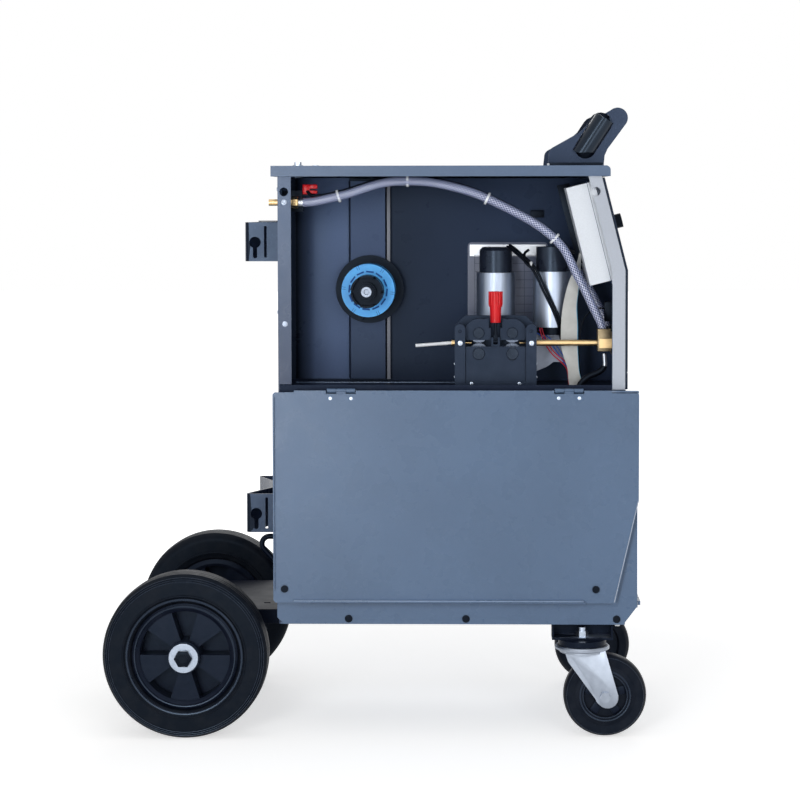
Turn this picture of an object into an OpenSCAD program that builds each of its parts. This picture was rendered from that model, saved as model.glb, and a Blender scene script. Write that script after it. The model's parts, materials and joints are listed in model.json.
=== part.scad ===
// Wire feed welding machine on a two-wheel cart with a bottle platform.
// Millimetres, +X to the front, +Z up, the near side (door side) faces -Y.
// The origin is on the floor under the middle of the machine's outer box.

/* [Cabinet] */
// Width of the cabinet over its side walls
cab_w = 390; // [360:5:420]
// Distance from the rear panel's outer face to the lower front
cab_l = 540; // [520:5:560]
// Height of the cabinet's underside above the floor
bottom_z = 169; // [165:1:175]
// Height of the compartment floor above the floor
deck_z = 524; // [505:1:530]
// Height of the wire feed compartment
feed_h = 320; // [315:1:330]
// Height of the roof cover's folded rim
roof_h = 16; // [12:1:20]
// Thickness of the sheet metal
sheet = 2; // [1.5:0.1:2.4]
// Depth of the wire feed compartment
bay_depth = 165; // [155:1:175]
// Setback of the upper front behind the lower front
front_step = 19; // [15:1:24]
// Height of the upper front's upright part
upright_h = 179; // [170:1:185]
// Lean of the control panel from upright
panel_lean = 14.2; // [10:0.1:16]
// Thickness of the fascia moulding
fascia_t = 4; // [3:0.5:5]
// Width of the folded flanges round the compartment
flange_w = 20; // [16:1:22]

/* [Door] */
// Height of the side door
door_h = 319; // [310:1:325]
// How far the hinge line stands out from the side wall
hinge_out = 8; // [7:0.5:10]
// Radius of the hinge pins
hinge_pin_r = 1.5; // [1:0.1:2]
// Radius of a latch shaft
latch_r = 4; // [3:0.5:4.5]
// Inset of the latches from the door's free edge
latch_inset = 21; // [18:1:26]

/* [Running gear] */
// Radius of the rear wheels
wheel_r = 125; // [118:1:125]
// Width of a rear tyre
tyre_w = 60; // [50:1:64]
// Radius where tyre and rim meet
rim_r = 80; // [74:1:86]
// Distance between the rear wheels' middle planes
track = 405; // [400:1:415]
// Distance of the rear axle behind the rear panel
axle_back = 140; // [136:1:146]
// Radius of the rear axle
axle_r = 12.5; // [10:0.5:14]
// Length of a rear hub
hub_len = 70; // [66:1:72]
// Radius of the caster wheels
caster_r = 62.5; // [58:0.5:62.5]
// Width of a caster wheel
caster_w = 32; // [26:1:36]
// Distance between the casters' pivots
caster_track = 380; // [360:1:384]
// Distance of a caster pivot behind the lower front
caster_set = 82.5; // [76:0.5:90]
// Trail of a caster
caster_trail = 34; // [28:1:38]

/* [Bottle rack] */
// Length of the bottle platform
rack_l = 235; // [225:1:240]
// Height of the platform's folded edges
rack_h = 22; // [20:1:28]
// Width of the bottle brackets
cradle_w = 220; // [200:5:240]
// Depth of the bottle brackets
cradle_d = 58; // [50:1:62]
// Height of the bottle brackets
cradle_h = 60; // [50:1:64]

/* [Handle] */
// Distance between the handle's plates, middle to middle
handle_w = 240; // [220:5:260]
// Radius of the handle's round end
handle_end_r = 15.7; // [14:0.1:17]
// Height of the round end's centre above the roof
handle_rise = 73; // [68:1:76]
// Outer radius of a torch holder tube
holder_r = 15.5; // [13:0.5:16]

/* [Wire drive] */
// Outer radius of the spool hub's barrel
barrel_r = 25; // [22:0.5:26]
// Length of the spool hub's barrel in front of the drive ring
barrel_l = 46; // [40:1:50]
// Outer radius of the spool hub's drive ring
drum_r = 41; // [36:0.5:44]
// Length of the spool hub's drive ring
drum_l = 54; // [40:1:56]
// Radius of the spool hub's back flange
hub_flange_r = 53; // [46:1:54]
// Width of the wire feeder
feeder_w = 124; // [120:1:128]
// Height of the wire feeder
feeder_h = 108; // [104:1:110]
// Radius of the feed and pressure rolls
roll_r = 15; // [13:0.5:15.5]
// Radius of the outlet tube
outlet_r = 4.7; // [3:0.1:5.5]
// Height of the wire above the compartment floor
wire_h = 67; // [65:0.5:68]
// Radius of a feed motor
motor_r = 30; // [27:0.5:31]

/* [Hidden] */

$fn = 64;
e = 0.01; // overlap of parts of one solid
fit = 0.05; // radial clearance of a shaft in its hole
gap = 0.3; // clearance between pieces that move past each other

// Colours
blue_grey = [0.38, 0.46, 0.57];
dark_blue = [0.18, 0.22, 0.30];
light_grey = [0.75, 0.78, 0.82];
black = [0.10, 0.11, 0.13];
rubber = [0.12, 0.13, 0.15];
zinc = [0.72, 0.75, 0.80];
brass = [0.75, 0.62, 0.38];
copper = [0.72, 0.42, 0.25];

// Cabinet
half_w = cab_w / 2;
total_l = axle_back + wheel_r + cab_l - caster_set + caster_trail + caster_r;
rear_x = wheel_r + axle_back - total_l / 2;
front_x = rear_x + cab_l;
frame_x = front_x - front_step;
eave_z = deck_z + feed_h;
roof_z = eave_z + roof_h;
knee_z = deck_z + upright_h;
frame_top_x = frame_x - (eave_z - knee_z) * tan(panel_lean);
tray_top = bottom_z + sheet;
divider_y = bay_depth - half_w;
overhang = 10; // of the roof behind the rear panel
chamfer_rear = 10; // of the side panels' lower rear corner
chamfer_front = [17, 26]; // of their lower front corner
bay_x0 = rear_x + sheet;
bay_x1 = frame_x - sheet;
flange_inner_x = frame_x - flange_w;
wire_z = deck_z + wire_h;

// Door, which hangs open from the hinge line
hinge_z = deck_z - 1;
hinge_y = -half_w - hinge_out;
skin_y = 2 * hinge_y + half_w + gap; // the open door's face towards the viewer
door_x0 = rear_x - 7.5;
door_x1 = front_x + 1;
door_top = hinge_z - 1.7;
door_bottom = hinge_z - door_h;
door_flange_top = hinge_z + 1;
latch_z = door_bottom + latch_inset;
latch_xs = [rear_x + 9.5, frame_x - 44];
hinge_xs = [rear_x + 95, frame_x - 84.5];
hinge_l = 43;
knuckle_l = 14;
knuckle_r = 3.5;

// Running gear
axle_x = rear_x - axle_back;
axle_h = wheel_r;
caster_x = front_x - caster_set;
caster_y = caster_track / 2;
crown_z = 2 * caster_r + 2.5; // underside of a caster's crown
crown_t = 7;
bracket_z = bottom_z - 22; // underside of a caster bracket
bracket_l = 92;
bolt_r = 6;
hub_half = track / 2 + hub_len / 2;
washer_t = 3;

// Bottle rack
rack_z = bottom_z + 9.5; // top face of the platform
rack_inset = 39; // from a hub's inner end to the platform's edge
rack_w = track - hub_len - 2 * rack_inset;
rack_t = 3;
bracket_zs = [deck_z + 190.5, bottom_z + 126]; // undersides of the upper and lower bracket

// Handle
handle_x = frame_x - 114.5; // rear end of the handle's foot
handle_l = 85.5;
handle_t = 3;
handle_end = [handle_x + 106.5, roof_z + handle_rise];
holder_l = 71;
holder_lean = 33;
holder_mid = [handle_x + 70, roof_z + 46];

// Wire feed compartment
hub_x = rear_x + 131;
hub_z = deck_z + 145;
hub_back_y = divider_y - 16;
feeder_x = frame_x - 256;
feeder_y = -half_w + 30; // near face of the feeder
feeder_back = feeder_y + 45;
column_w = 16;
foot_h = 9;
feeder_mid = feeder_x + feeder_w / 2;
roll_gap = 51; // distance between the two roll axes
roll_w = 12;
wire_y = feeder_y + 24;
pinch = 0.4; // half the wire that runs between two rolls
press_z = wire_z + roll_r + pinch;
feed_z = wire_z - roll_r - pinch;
arm_y = feeder_y + 17;
arm_t = 18;
pin_r = 3;
arm_pivot_z = wire_z + 19;
arm_pivots = [feeder_x + 8, feeder_x + feeder_w - 8];
lever_y = arm_y - 3.5;
lever_z = wire_z + 3;
lever_pin_r = 2.5;
inlet_y = -half_w + 45;
inlet_z = deck_z + 281;
socket_r = 13.5; // where the torch socket passes the front
// Routes of the gas hose, from the inlet's tail, and of the power cable, both to the torch socket
hose_route = [
    [-116, -150, 805], [-104, -150, 805], [-91, -150, 806], [-74, -150, 810], [-57, -150, 816], [-39, -150, 822],
    [-20, -150, 828], [1, -150, 833], [24, -150, 836], [50, -150, 837], [76, -150, 836], [99, -150, 832],
    [119, -150, 827], [139, -150, 821], [161, -149, 812], [184, -148, 801], [207, -147, 788], [230, -146, 775],
    [251, -145, 761], [269, -144, 747], [283, -143, 733], [294, -142, 717], [303, -141, 700], [313, -141, 682],
    [323, -141, 662], [332, -141, 643], [340, -141, 627], [344, -141, 618], [345, -141, 608]
];
power_route = [[348, -141, 574], [348, -141, 564], [345, -141, 555], [337, -141, 548], [327, -141, 542],
    [317, -141, 537], [310, -141, 532], [306, -141, 527], [304, -141, 522], [304, -141, 514]];
knob_ys = [-100, 100];
knob_up = 72; // height of the knobs' axes up the leaning panel
drum_y = hub_back_y - 4; // back face of the drive ring
barrel_end = drum_y - drum_l - barrel_l;
barrel_core_r = barrel_r - 1; // of the barrel inside the drive ring
hub_axle_r = 7;
gland_y = -60;
gland_z = bottom_z + 212;
fan_y = 90;
fan_z = bottom_z + 130;
fan_r = 54;
fan_w = 120;
rectifier_x = rear_x + 100;
transformer_x = rear_x + 210;
choke_x = front_x - 140;

// Placing
module slab_y(y, t) { translate([0, y + t, 0]) rotate([90, 0, 0]) linear_extrude(t) children(); }
module rod_x(x, y, z, r, l, n = 64) { translate([x, y, z]) rotate([0, 90, 0]) cylinder(r = r, h = l, $fn = n); }
module rod_y(x, y, z, r, l, n = 64) { translate([x, y, z]) rotate([-90, 0, 0]) cylinder(r = r, h = l, $fn = n); }
module rod_z(x, y, z, r, l, n = 64) { translate([x, y, z]) cylinder(r = r, h = l, $fn = n); }
module box(x0, x1, y0, y1, z0, z1) { translate([x0, y0, z0]) cube([x1 - x0, y1 - y0, z1 - z0]); }
module both_sides() { children(); mirror([0, 1, 0]) children(); }
// Stands on the knee line of the front, +X outwards and +Z up the leaning panel
module on_panel() { translate([frame_x, 0, knee_z]) rotate([0, -panel_lean, 0]) children(); }

// Side outline of the cabinet, in X and Z
module side_outline(top) {
    polygon([
        [rear_x - 3, bottom_z + chamfer_rear], [rear_x - 3 + chamfer_rear, bottom_z],
        [front_x - chamfer_front[0], bottom_z], [front_x, bottom_z + chamfer_front[1]],
        [front_x, min(top, deck_z)], [frame_x, min(top, deck_z)],
        [frame_x, min(top, knee_z)], [frame_x - max(0, top - knee_z) * tan(panel_lean), top],
        [rear_x - 3, top]
    ]);
}

// Front outline of the wire feed compartment, from inner to outer offset
module front_line(inner, outer, top = eave_z, bottom = deck_z) {
    run = (top - knee_z) * tan(panel_lean);
    polygon([
        [frame_x - inner, bottom], [frame_x + outer, bottom], [frame_x + outer, knee_z],
        [frame_x + outer - run, top], [frame_x - inner - run, top], [frame_x - inner, knee_z]
    ]);
}

// A row of louvre slots, rising along Z
module louvres(x, z, l, count, pitch) {
    for (i = [0:count - 1]) translate([x, z + i * pitch]) square([l, 4]);
}

// ---- Cabinet ----
module base_tray() color(blue_grey) {
    lip = 18;
    box(bay_x0, front_x - sheet, -half_w, half_w, bottom_z, tray_top);
    both_sides() box(bay_x0 + chamfer_rear, front_x - chamfer_front[0] - sheet,
        -half_w, -half_w + sheet, bottom_z, bottom_z + lip);
}

module rear_panel() color(blue_grey) difference() {
    union() {
        box(rear_x, bay_x0, -half_w, half_w, bottom_z, eave_z);
        box(bay_x0 - e, rear_x + flange_w, -half_w, -half_w + sheet, deck_z + 8, eave_z);
        box(bay_x0 - e, rear_x + flange_w, half_w - sheet, half_w, deck_z + 8, eave_z);
    }
    rod_y(latch_xs[0], -half_w - 1, 2 * hinge_z - latch_z, latch_r + 2.5, sheet + 2);
    rod_x(rear_x - 1, inlet_y, inlet_z, 6.5, sheet + 2);
    rod_x(rear_x - 1, gland_y, gland_z, 11, sheet + 2);
    translate([rear_x - 1, 0, 0]) rotate([90, 0, 90]) linear_extrude(sheet + 2)
        intersection() {
            translate([fan_y, fan_z]) circle(r = fan_r);
            translate([0, fan_z - fan_r + 4]) louvres(fan_y - fan_r, 0, 2 * fan_r, 9, 11.5);
        }
}

module front_lower_panel() color(blue_grey) difference() {
    union() {
        box(front_x - sheet, front_x, -half_w, half_w, bottom_z, deck_z);
        box(frame_x + e, front_x - sheet + e, -half_w, half_w, deck_z - sheet, deck_z);
        box(front_x - e, front_x + 5, -half_w + 4, half_w - 4, bottom_z + 26, bottom_z + 35);
    }
    translate([front_x - sheet - 1, 0, 0]) rotate([90, 0, 90]) linear_extrude(sheet + 2)
        for (y = [-150, 30]) louvres(y, bottom_z + 70, 120, 12, 14);
}

module far_side_panel() color(blue_grey) slab_y(half_w, sheet) difference() {
    side_outline(eave_z);
    for (x = [rear_x + 60, rear_x + 200, rear_x + 340])
        louvres(x, bottom_z + 60, 100, 14, 14);
    for (x = [rear_x + 60, rear_x + 200]) louvres(x, deck_z + 60, 100, 8, 14);
}

module lower_side_panel() color(blue_grey) slab_y(-half_w - sheet, sheet) side_outline(deck_z - 5);

module divider_wall() color(dark_blue) difference() {
    channel = [rear_x + 97, rear_x + 159];
    slope = 4;
    proud = 12;
    union() {
        slab_y(divider_y, sheet) difference() {
            translate([bay_x0, deck_z]) square([frame_x - bay_x0, feed_h - sheet]);
            translate([sheet + 1, 0]) front_line(0, 60, eave_z + 1, deck_z - 1);
            front_line(sheet + gap, 60, eave_z + 1, deck_z - 1);
        }
        // pressed channel that stiffens the wall and carries the spool hub
        translate([0, 0, deck_z + 4]) linear_extrude(feed_h - 10) difference() {
            polygon([[channel[0], divider_y + e], [channel[0] + slope, divider_y - proud],
                [channel[1] - slope, divider_y - proud], [channel[1], divider_y + e]]);
            polygon([[channel[0] + sheet, divider_y + 1], [channel[0] + slope + sheet, divider_y - proud + sheet],
                [channel[1] - slope - sheet, divider_y - proud + sheet], [channel[1] - sheet, divider_y + 1]]);
        }
    }
    rod_y(hub_x, divider_y - proud - 1, hub_z, 8, proud + sheet + 2);
}

module compartment_floor() color(blue_grey) difference() {
    union() {
        box(bay_x0, bay_x1 - gap, -half_w + sheet, half_w - sheet, deck_z - sheet, deck_z);
        box(bay_x0, flange_inner_x - gap, -half_w, -half_w + sheet + e, deck_z - 4.5, deck_z + 7);
    }
    rod_z(power_route[len(power_route) - 1][0], power_route[len(power_route) - 1][1], deck_z - sheet - 1, 5, sheet + 2);
}

module roof_cover() color(blue_grey) {
    x0 = rear_x - overhang;
    x1 = frame_x - (eave_z - knee_z) * tan(panel_lean) + overhang + 3;
    w = half_w + sheet + 1;
    r = 7;
    difference() {
        slab_y(-w, 2 * w) union() {
            translate([x0, eave_z]) square([x1 - x0, roof_h - r]);
            translate([x0, eave_z]) square([x1 - x0 - r, roof_h]);
            translate([x1 - r, roof_z - r]) circle(r = r);
        }
        box(x0 + sheet, x1 - sheet, -w + sheet, w - sheet, eave_z - 1, roof_z - sheet);
    }
}

module front_frame() color(light_grey) difference() {
    union() {
        slab_y(-half_w, cab_w) front_line(sheet, 0);
        both_sides() slab_y(-half_w, sheet) front_line(flange_w, 0);
    }
    rod_y(latch_xs[1], -half_w - 1, 2 * hinge_z - latch_z, latch_r + 2.5, sheet + 2);
    rod_x(frame_x - sheet - 1, wire_y, wire_z, socket_r + 0.3, sheet + 2);
    for (y = knob_ys) on_panel() rod_x(-5, y, knob_up, 6, 10);
}

module front_fascia() color(black) difference() {
    slab_y(-half_w + 3, cab_w - 6) front_line(-e, fascia_t, eave_z - 2, deck_z + gap);
    rod_x(frame_x - 1, wire_y, wire_z, socket_r + 0.3, fascia_t + 2);
    for (y = knob_ys) on_panel() rod_x(-5, y, knob_up, 6, 20);
    // joint line between the upright and the lower moulding
    box(frame_x + fascia_t - 1, frame_x + fascia_t + 1, -half_w, half_w, deck_z + 25, deck_z + 26.5);
}

module control_box() color(light_grey) on_panel() difference() {
    union() {
        box(-56, -12, -half_w + 12, divider_y - 14, -10, 141);
        box(-12 - e, -sheet, -half_w + 30, divider_y - 30, 8, 130);
    }
    box(-54.5, -13.5, -half_w + 13.5, divider_y - 15.5, -8.5, 139.5);
    rod_x(-30, knob_ys[0], knob_up, 6, 40);
}

// ---- Handle ----
module holder_slot(r) {
    translate(holder_mid) rotate(-holder_lean) union() {
        square([2 * r, holder_l - 26], center = true);
        for (s = [-1, 1]) translate([0, s * (holder_l / 2 - 13)]) circle(r = r);
    }
}

module handle_outline() {
    c = handle_end;
    translate(c) circle(r = handle_end_r);
    translate([handle_x + 14, roof_z + 18]) circle(r = 12);
    polygon([
        [handle_x, roof_z], [handle_x + handle_l, roof_z], [handle_x + handle_l + 1.5, roof_z + 16],
        [handle_x + handle_l + 6, roof_z + 26],
        [c[0] + handle_end_r * cos(-35), c[1] + handle_end_r * sin(-35)], c,
        [c[0] + handle_end_r * cos(110), c[1] + handle_end_r * sin(110)],
        [c[0] - 38, c[1] - 4], [c[0] - 58, c[1] - 22],
        [handle_x + 14 + 12 * cos(125), roof_z + 18 + 12 * sin(125)],
        [handle_x + 2, roof_z + 18]
    ]);
}

module handle_frame() color(black) {
    grip_r = 12;
    both_sides() {
        slab_y(-handle_w / 2 - handle_t / 2, handle_t) difference() {
            handle_outline();
            holder_slot(holder_r + 0.5);
        }
        box(handle_x, handle_x + handle_l, -handle_w / 2, -handle_w / 2 + 22, roof_z, roof_z + handle_t);
    }
    rod_y(handle_end[0], -handle_w / 2, handle_end[1], grip_r, handle_w);
}

module torch_holders() color(black) both_sides() difference() {
    translate([holder_mid[0], -handle_w / 2, holder_mid[1]]) rotate([0, holder_lean, 0])
        difference() {
            translate([0, 0, -holder_l / 2]) cylinder(r = holder_r, h = holder_l - 4);
            translate([0, 0, -holder_l]) cylinder(r = holder_r - sheet, h = 2 * holder_l);
            translate([0, -4, holder_l / 2 - 16]) cube([holder_r + 1, 8, 20]);
        }
    box(handle_x, handle_x + 2 * handle_l, -handle_w, 0, roof_z, roof_z + 20);
}

// ---- Bottle rack ----
// A bent sheet that cradles a gas bottle, with slots for its chain
module bottle_bracket(z) color(blue_grey) {
    w = cradle_w / 2;
    x0 = rear_x - cradle_d;
    t = sheet;
    difference() {
        translate([0, 0, z]) linear_extrude(cradle_h) difference() {
            polygon([
                [rear_x, -w], [x0 + 6, -w], [x0 + 1.5, -w + 2], [x0, -w + 6], [x0 + 2, -w + 12],
                [rear_x - 22, -24], [rear_x - 22, 24],
                [x0 + 2, w - 12], [x0, w - 6], [x0 + 1.5, w - 2], [x0 + 6, w], [rear_x, w]
            ]);
            polygon([
                [rear_x - t, -w + t], [x0 + 7, -w + t], [x0 + t + 1, -w + 5], [x0 + t, -w + 7], [x0 + t + 2, -w + 11],
                [rear_x - 22 + t, -24 - t], [rear_x - 22 + t, 24 + t],
                [x0 + t + 2, w - 11], [x0 + t, w - 7], [x0 + t + 1, w - 5], [x0 + 7, w - t], [rear_x - t, w - t]
            ]);
        }
        both_sides() slab_y(-w - 1, t + 2) {
            translate([rear_x - 42.5, z + 29]) circle(r = 8.7);
            translate([rear_x - 42.5 - 3.2, z + 8]) square([6.4, 22]);
            translate([rear_x - 42.5, z + 8]) circle(r = 3.2);
            translate([rear_x - 28.5, z + 6]) square([4, 48]);
        }
    }
}

module bottle_bracket_upper() bottle_bracket(bracket_zs[0]);
module bottle_bracket_lower() bottle_bracket(bracket_zs[1]);

module bottle_platform() color(blue_grey) {
    w = rack_w / 2;
    x0 = rear_x - rack_l;
    ear_y = w - 12;
    slot_y = 74;
    difference() {
        union() {
            box(x0, rear_x, -w, w, rack_z - rack_t, rack_z);
            both_sides() box(x0, rear_x, -w, -w + rack_t, rack_z - rack_h, rack_z - e);
            box(x0, x0 + rack_t, -w, w, rack_z - rack_h, rack_z - e);
            box(rear_x - rack_t, rear_x, -w + 10, w - 10, rack_z - e, rack_z + 26);
            // ears that carry the axle
            both_sides() slab_y(-ear_y, 5) union() {
                translate([axle_x, axle_h]) circle(r = axle_r + 12);
                polygon([[axle_x - 55, rack_z - rack_t], [axle_x - axle_r - 12, axle_h],
                    [axle_x + axle_r + 12, axle_h], [axle_x + 55, rack_z - rack_t]]);
            }
        }
        rod_y(axle_x, -w - 1, axle_h, axle_r + fit, 2 * w + 2);
        for (y = [-slot_y, slot_y]) box(rear_x - 35, rear_x - 25, y - 3.5, y + 3.5, rack_z - rack_t - 1, rack_z + 1);
    }
}

module cable_loop() color(black) {
    r = 4.3;
    bend = 12;
    turn = 132;
    reach = 27;
    difference() {
        translate([rear_x - reach, -60, bottom_z + 112]) {
            rotate([0, 90, 0]) cylinder(r = r, h = reach + 5);
            translate([0, 0, -bend]) {
                rotate([90, 0, 0]) rotate([0, 0, 90]) rotate_extrude(angle = turn) translate([bend, 0]) circle(r = r);
                rotate([0, -turn, 0]) translate([0, 0, bend]) rotate([0, 90, 0]) mirror([0, 0, 1]) cylinder(r = r, h = 64);
            }
        }
        box(rear_x, rear_x + 20, -100, 0, bottom_z, bottom_z + 200);
    }
}

module rear_axle() color(zinc) {
    rod_y(axle_x, -hub_half - washer_t - 3, axle_h, axle_r, 2 * (hub_half + washer_t + 3));
    both_sides() difference() {
        rod_y(axle_x, -hub_half - washer_t - 0.5, axle_h, 22, washer_t);
        rod_y(axle_x, -hub_half - washer_t - 2, axle_h, axle_r + fit, washer_t + 3);
    }
}

// ---- Running gear ----
module caster_brackets() both_sides() {
    t = 3;
    y0 = -caster_y - 14;
    y1 = -caster_y + 24;
    color(black) difference() {
        union() {
            box(caster_x - bracket_l / 2, caster_x + bracket_l / 2, y0, y1, bracket_z, bracket_z + t);
            box(caster_x - bracket_l / 2, caster_x + bracket_l / 2, y1 - t, y1, bracket_z, bottom_z);
            for (s = [-1, 1]) translate([caster_x + s * (bracket_l / 2 - t / 2) - t / 2, 0, 0])
                rotate([90, 0, 90]) linear_extrude(t)
                    polygon([[y0, bracket_z], [y1, bracket_z], [y1, bottom_z], [y0 + 12, bottom_z]]);
        }
        rod_z(caster_x, -caster_y, bracket_z - 1, bolt_r + fit, t + 2);
    }
    // bearing disc, centre bolt and its nut
    color(black) difference() {
        rod_z(caster_x, -caster_y, crown_z + crown_t + gap, 36, bracket_z - crown_z - crown_t - gap);
        rod_z(caster_x, -caster_y, crown_z, bolt_r + fit, 30);
    }
    color(zinc) {
        rod_z(caster_x, -caster_y, crown_z - 1.5, bolt_r, bracket_z + 19 - crown_z);
        rod_z(caster_x, -caster_y, bracket_z + t, 9.5, 9, 6);
    }
}

module caster_fork(side) {
    y = side * caster_y;
    half_gap = caster_w / 2 + 2.5;
    t = 3;
    ax = caster_x + caster_trail;
    color(zinc) difference() {
        union() {
            rod_z(caster_x, y, crown_z, 34, crown_t);
            for (s = [-1, 1]) slab_y(y + s * (half_gap + t / 2) - t / 2, t) union() {
                translate([ax, caster_r]) circle(r = 15);
                polygon([[caster_x - 26, crown_z + e], [caster_x - 22, crown_z - 12], [ax - 14.5, caster_r - 4],
                    [ax + 14.5, caster_r + 4], [ax + 6, crown_z - 20], [caster_x + 26, crown_z + e]]);
            }
        }
        rod_z(caster_x, y, crown_z - 1, bolt_r + fit, crown_t + 2);
    }
    color(zinc) {
        rod_y(ax, y - half_gap - t - 1, caster_r, 5, 2 * (half_gap + t) + 2);
        for (s = [-1, 1]) rod_y(ax, y + s * (half_gap + t + 3) - 3, caster_r, 8.5, 6, 6);
    }
}
module caster_fork_near() caster_fork(-1);
module caster_fork_far() caster_fork(1);

module caster_wheel(side) color(rubber)
    translate([caster_x + caster_trail, side * caster_y, caster_r]) rotate([90, 0, 0]) rotate_extrude() {
        w = caster_w / 2;
        bore = 5 + fit;
        polygon([
            [bore, -w - 2], [14, -w - 2], [17, -w + 7], [caster_r - 20, -w + 7], [caster_r - 17, -w + 1],
            [caster_r - 6, -w], [caster_r - 1.5, -w + 5], [caster_r, -w + 11], [caster_r, w - 11],
            [caster_r - 1.5, w - 5], [caster_r - 6, w], [caster_r - 17, w - 1], [caster_r - 20, w - 7],
            [17, w - 7], [14, w + 2], [bore, w + 2]
        ]);
    }
module caster_wheel_near() caster_wheel(-1);
module caster_wheel_far() caster_wheel(1);

module rear_tyre(side) color(rubber)
    translate([axle_x, side * track / 2, axle_h]) rotate([90, 0, 0]) rotate_extrude($fn = 96) difference() {
        w = tyre_w / 2;
        union() {
            polygon([
                [rim_r, -w + 8], [rim_r + 5, -w + 3], [rim_r + 14, -w], [wheel_r - 14, -w], [wheel_r - 5, -w + 4],
                [wheel_r - 1, -w + 10], [wheel_r, 0], [wheel_r - 1, w - 10], [wheel_r - 5, w - 4],
                [wheel_r - 14, w], [rim_r + 14, w], [rim_r + 5, w - 3], [rim_r, w - 8]
            ]);
            for (s = [-1, 1]) translate([rim_r + 12, s * (w - 0.4)]) circle(r = 1.6, $fn = 16);
        }
        for (y = [-14, -5, 5, 14]) translate([wheel_r - 3.5, y - 1]) square([5, 2]);
    }

// Plastic rim: two webs of five lobes each, turned against each other
module rear_rim(side) color(rubber)
    translate([axle_x, side * track / 2, axle_h]) rotate([90 * side, 0, 0]) {
        w = tyre_w / 2;
        lobe_a = 38;
        difference() {
            union() {
                rotate_extrude($fn = 96) polygon([
                    [rim_r - 12, -w + 9], [rim_r - 7, -w + 5], [rim_r - 0.1, -w + 8], [rim_r - 0.1, w - 8],
                    [rim_r - 7, w - 5], [rim_r - 12, w - 9]
                ]);
                cylinder(r = 24, h = hub_len, center = true);
                for (face = [0, 1], i = [0:4])
                    rotate([0, 180 * face, 0]) rotate([0, 0, 72 * i + 90 + 36 * face])
                        translate([0, 0, -w + 11]) linear_extrude(4)
                            intersection() {
                                difference() { circle(r = rim_r - 11); circle(r = 23.5); }
                                polygon([[0, 0], [200 * cos(lobe_a / 2), -200 * sin(lobe_a / 2)],
                                    [200 * cos(lobe_a / 2), 200 * sin(lobe_a / 2)]]);
                            }
                // radial walls that join the two webs
                for (i = [0:9]) rotate(36 * i) translate([22, -1.2, -w + 12]) cube([rim_r - 33.5, 2.4, 2 * w - 24]);
            }
            cylinder(r = axle_r + fit, h = hub_len + 2, center = true);
        }
    }
module rear_tyre_near() rear_tyre(-1);
module rear_tyre_far() rear_tyre(1);
module rear_rim_near() rear_rim(-1);
module rear_rim_far() rear_rim(1);

// ---- Door, drawn hanging open ----
module door_outline() {
    polygon([
        [door_x0, door_bottom + 4], [door_x0 + 3, door_bottom], [door_x1 - 35, door_bottom],
        [door_x1, door_bottom + 154], [door_x1, door_top - 3], [door_x1 - 3, door_top],
        [door_x0 + 3, door_top], [door_x0, door_top - 3]
    ]);
}

module side_door() {
    back_y = skin_y + sheet;
    color(blue_grey) difference() {
        union() {
            slab_y(skin_y, sheet) door_outline();
            box(door_x0 + 32, door_x1 - 41, skin_y, back_y, door_top - e, door_flange_top);
            box(door_x0 + 30, door_x1 - 80, skin_y - 8, skin_y + e, door_bottom + 1, door_bottom + 2.5);
            box(door_x0 + 1, door_x0 + 2.5, skin_y - 5, skin_y + e, door_bottom + 20, door_top - 8);
        }
        for (x = hinge_xs) box(x - hinge_l / 2 - 1, x + hinge_l / 2 + 1, skin_y - 1, back_y + 1, hinge_z - 4, hinge_z + 6);
        for (x = latch_xs) rod_y(x, skin_y - 1, latch_z, latch_r + fit, sheet + 2);
    }
    // the door's half of each hinge
    color(black) for (x = hinge_xs) difference() {
        m = hinge_l / 2 - knuckle_l - 0.5;
        union() {
            box(x - m, x + m, back_y - e, back_y + 1.5, hinge_z - 22, hinge_z - 1);
            box(x - m, x + m, back_y, hinge_y, hinge_z - 3.4, hinge_z - 1.4);
            rod_x(x - m, hinge_y, hinge_z, knuckle_r, 2 * m);
        }
        rod_x(x - m - 1, hinge_y, hinge_z, hinge_pin_r + fit, 2 * m + 2);
    }
}

// The cabinet's half of each hinge, with its pin
module door_hinges() color(black) for (x = hinge_xs) {
    for (x0 = [x - hinge_l / 2, x + hinge_l / 2 - knuckle_l]) {
        rod_x(x0, hinge_y, hinge_z, knuckle_r, knuckle_l);
        box(x0, x0 + knuckle_l, hinge_y, -half_w, hinge_z - 1.3, hinge_z + 1);
    }
    rod_x(x - hinge_l / 2 + 2, hinge_y, hinge_z, hinge_pin_r, hinge_l - 4);
}

// Quarter-turn latch: knob on the door's outside, cam on its inside
module latch(x) color(black) {
    back_y = skin_y + sheet;
    rod_y(x, skin_y - 3, latch_z, latch_r, sheet + 10);
    rod_y(x, back_y + gap, latch_z, 9, 8);
    box(x - 1.5, x + 1.5, back_y + gap + 8 - e, back_y + gap + 9.5, latch_z - 8, latch_z + 8);
    rod_y(x, skin_y - gap - 2.7, latch_z, latch_r + 1.5, 2.7);
}
module latch_rear() latch(latch_xs[0]);
module latch_front() latch(latch_xs[1]);

// ---- Spool hub ----
module hub_axle() color(zinc) {
    rod_y(hub_x, barrel_end - 4, hub_z, hub_axle_r, divider_y + sheet + 8 - barrel_end);
    // screw with a hexagon socket, on a hexagonal collar
    difference() {
        rod_y(hub_x, barrel_end - 8, hub_z, 8, 5);
        rod_y(hub_x, barrel_end - 9, hub_z, 4, 4, 6);
    }
    rod_y(hub_x, barrel_end - 4.4, hub_z, 13, 3.2, 6);
    rod_y(hub_x, hub_back_y + gap, hub_z, 20, divider_y - 12 - hub_back_y - gap);
    rod_y(hub_x, divider_y + sheet, hub_z, 13, 6, 6);
}

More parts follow.
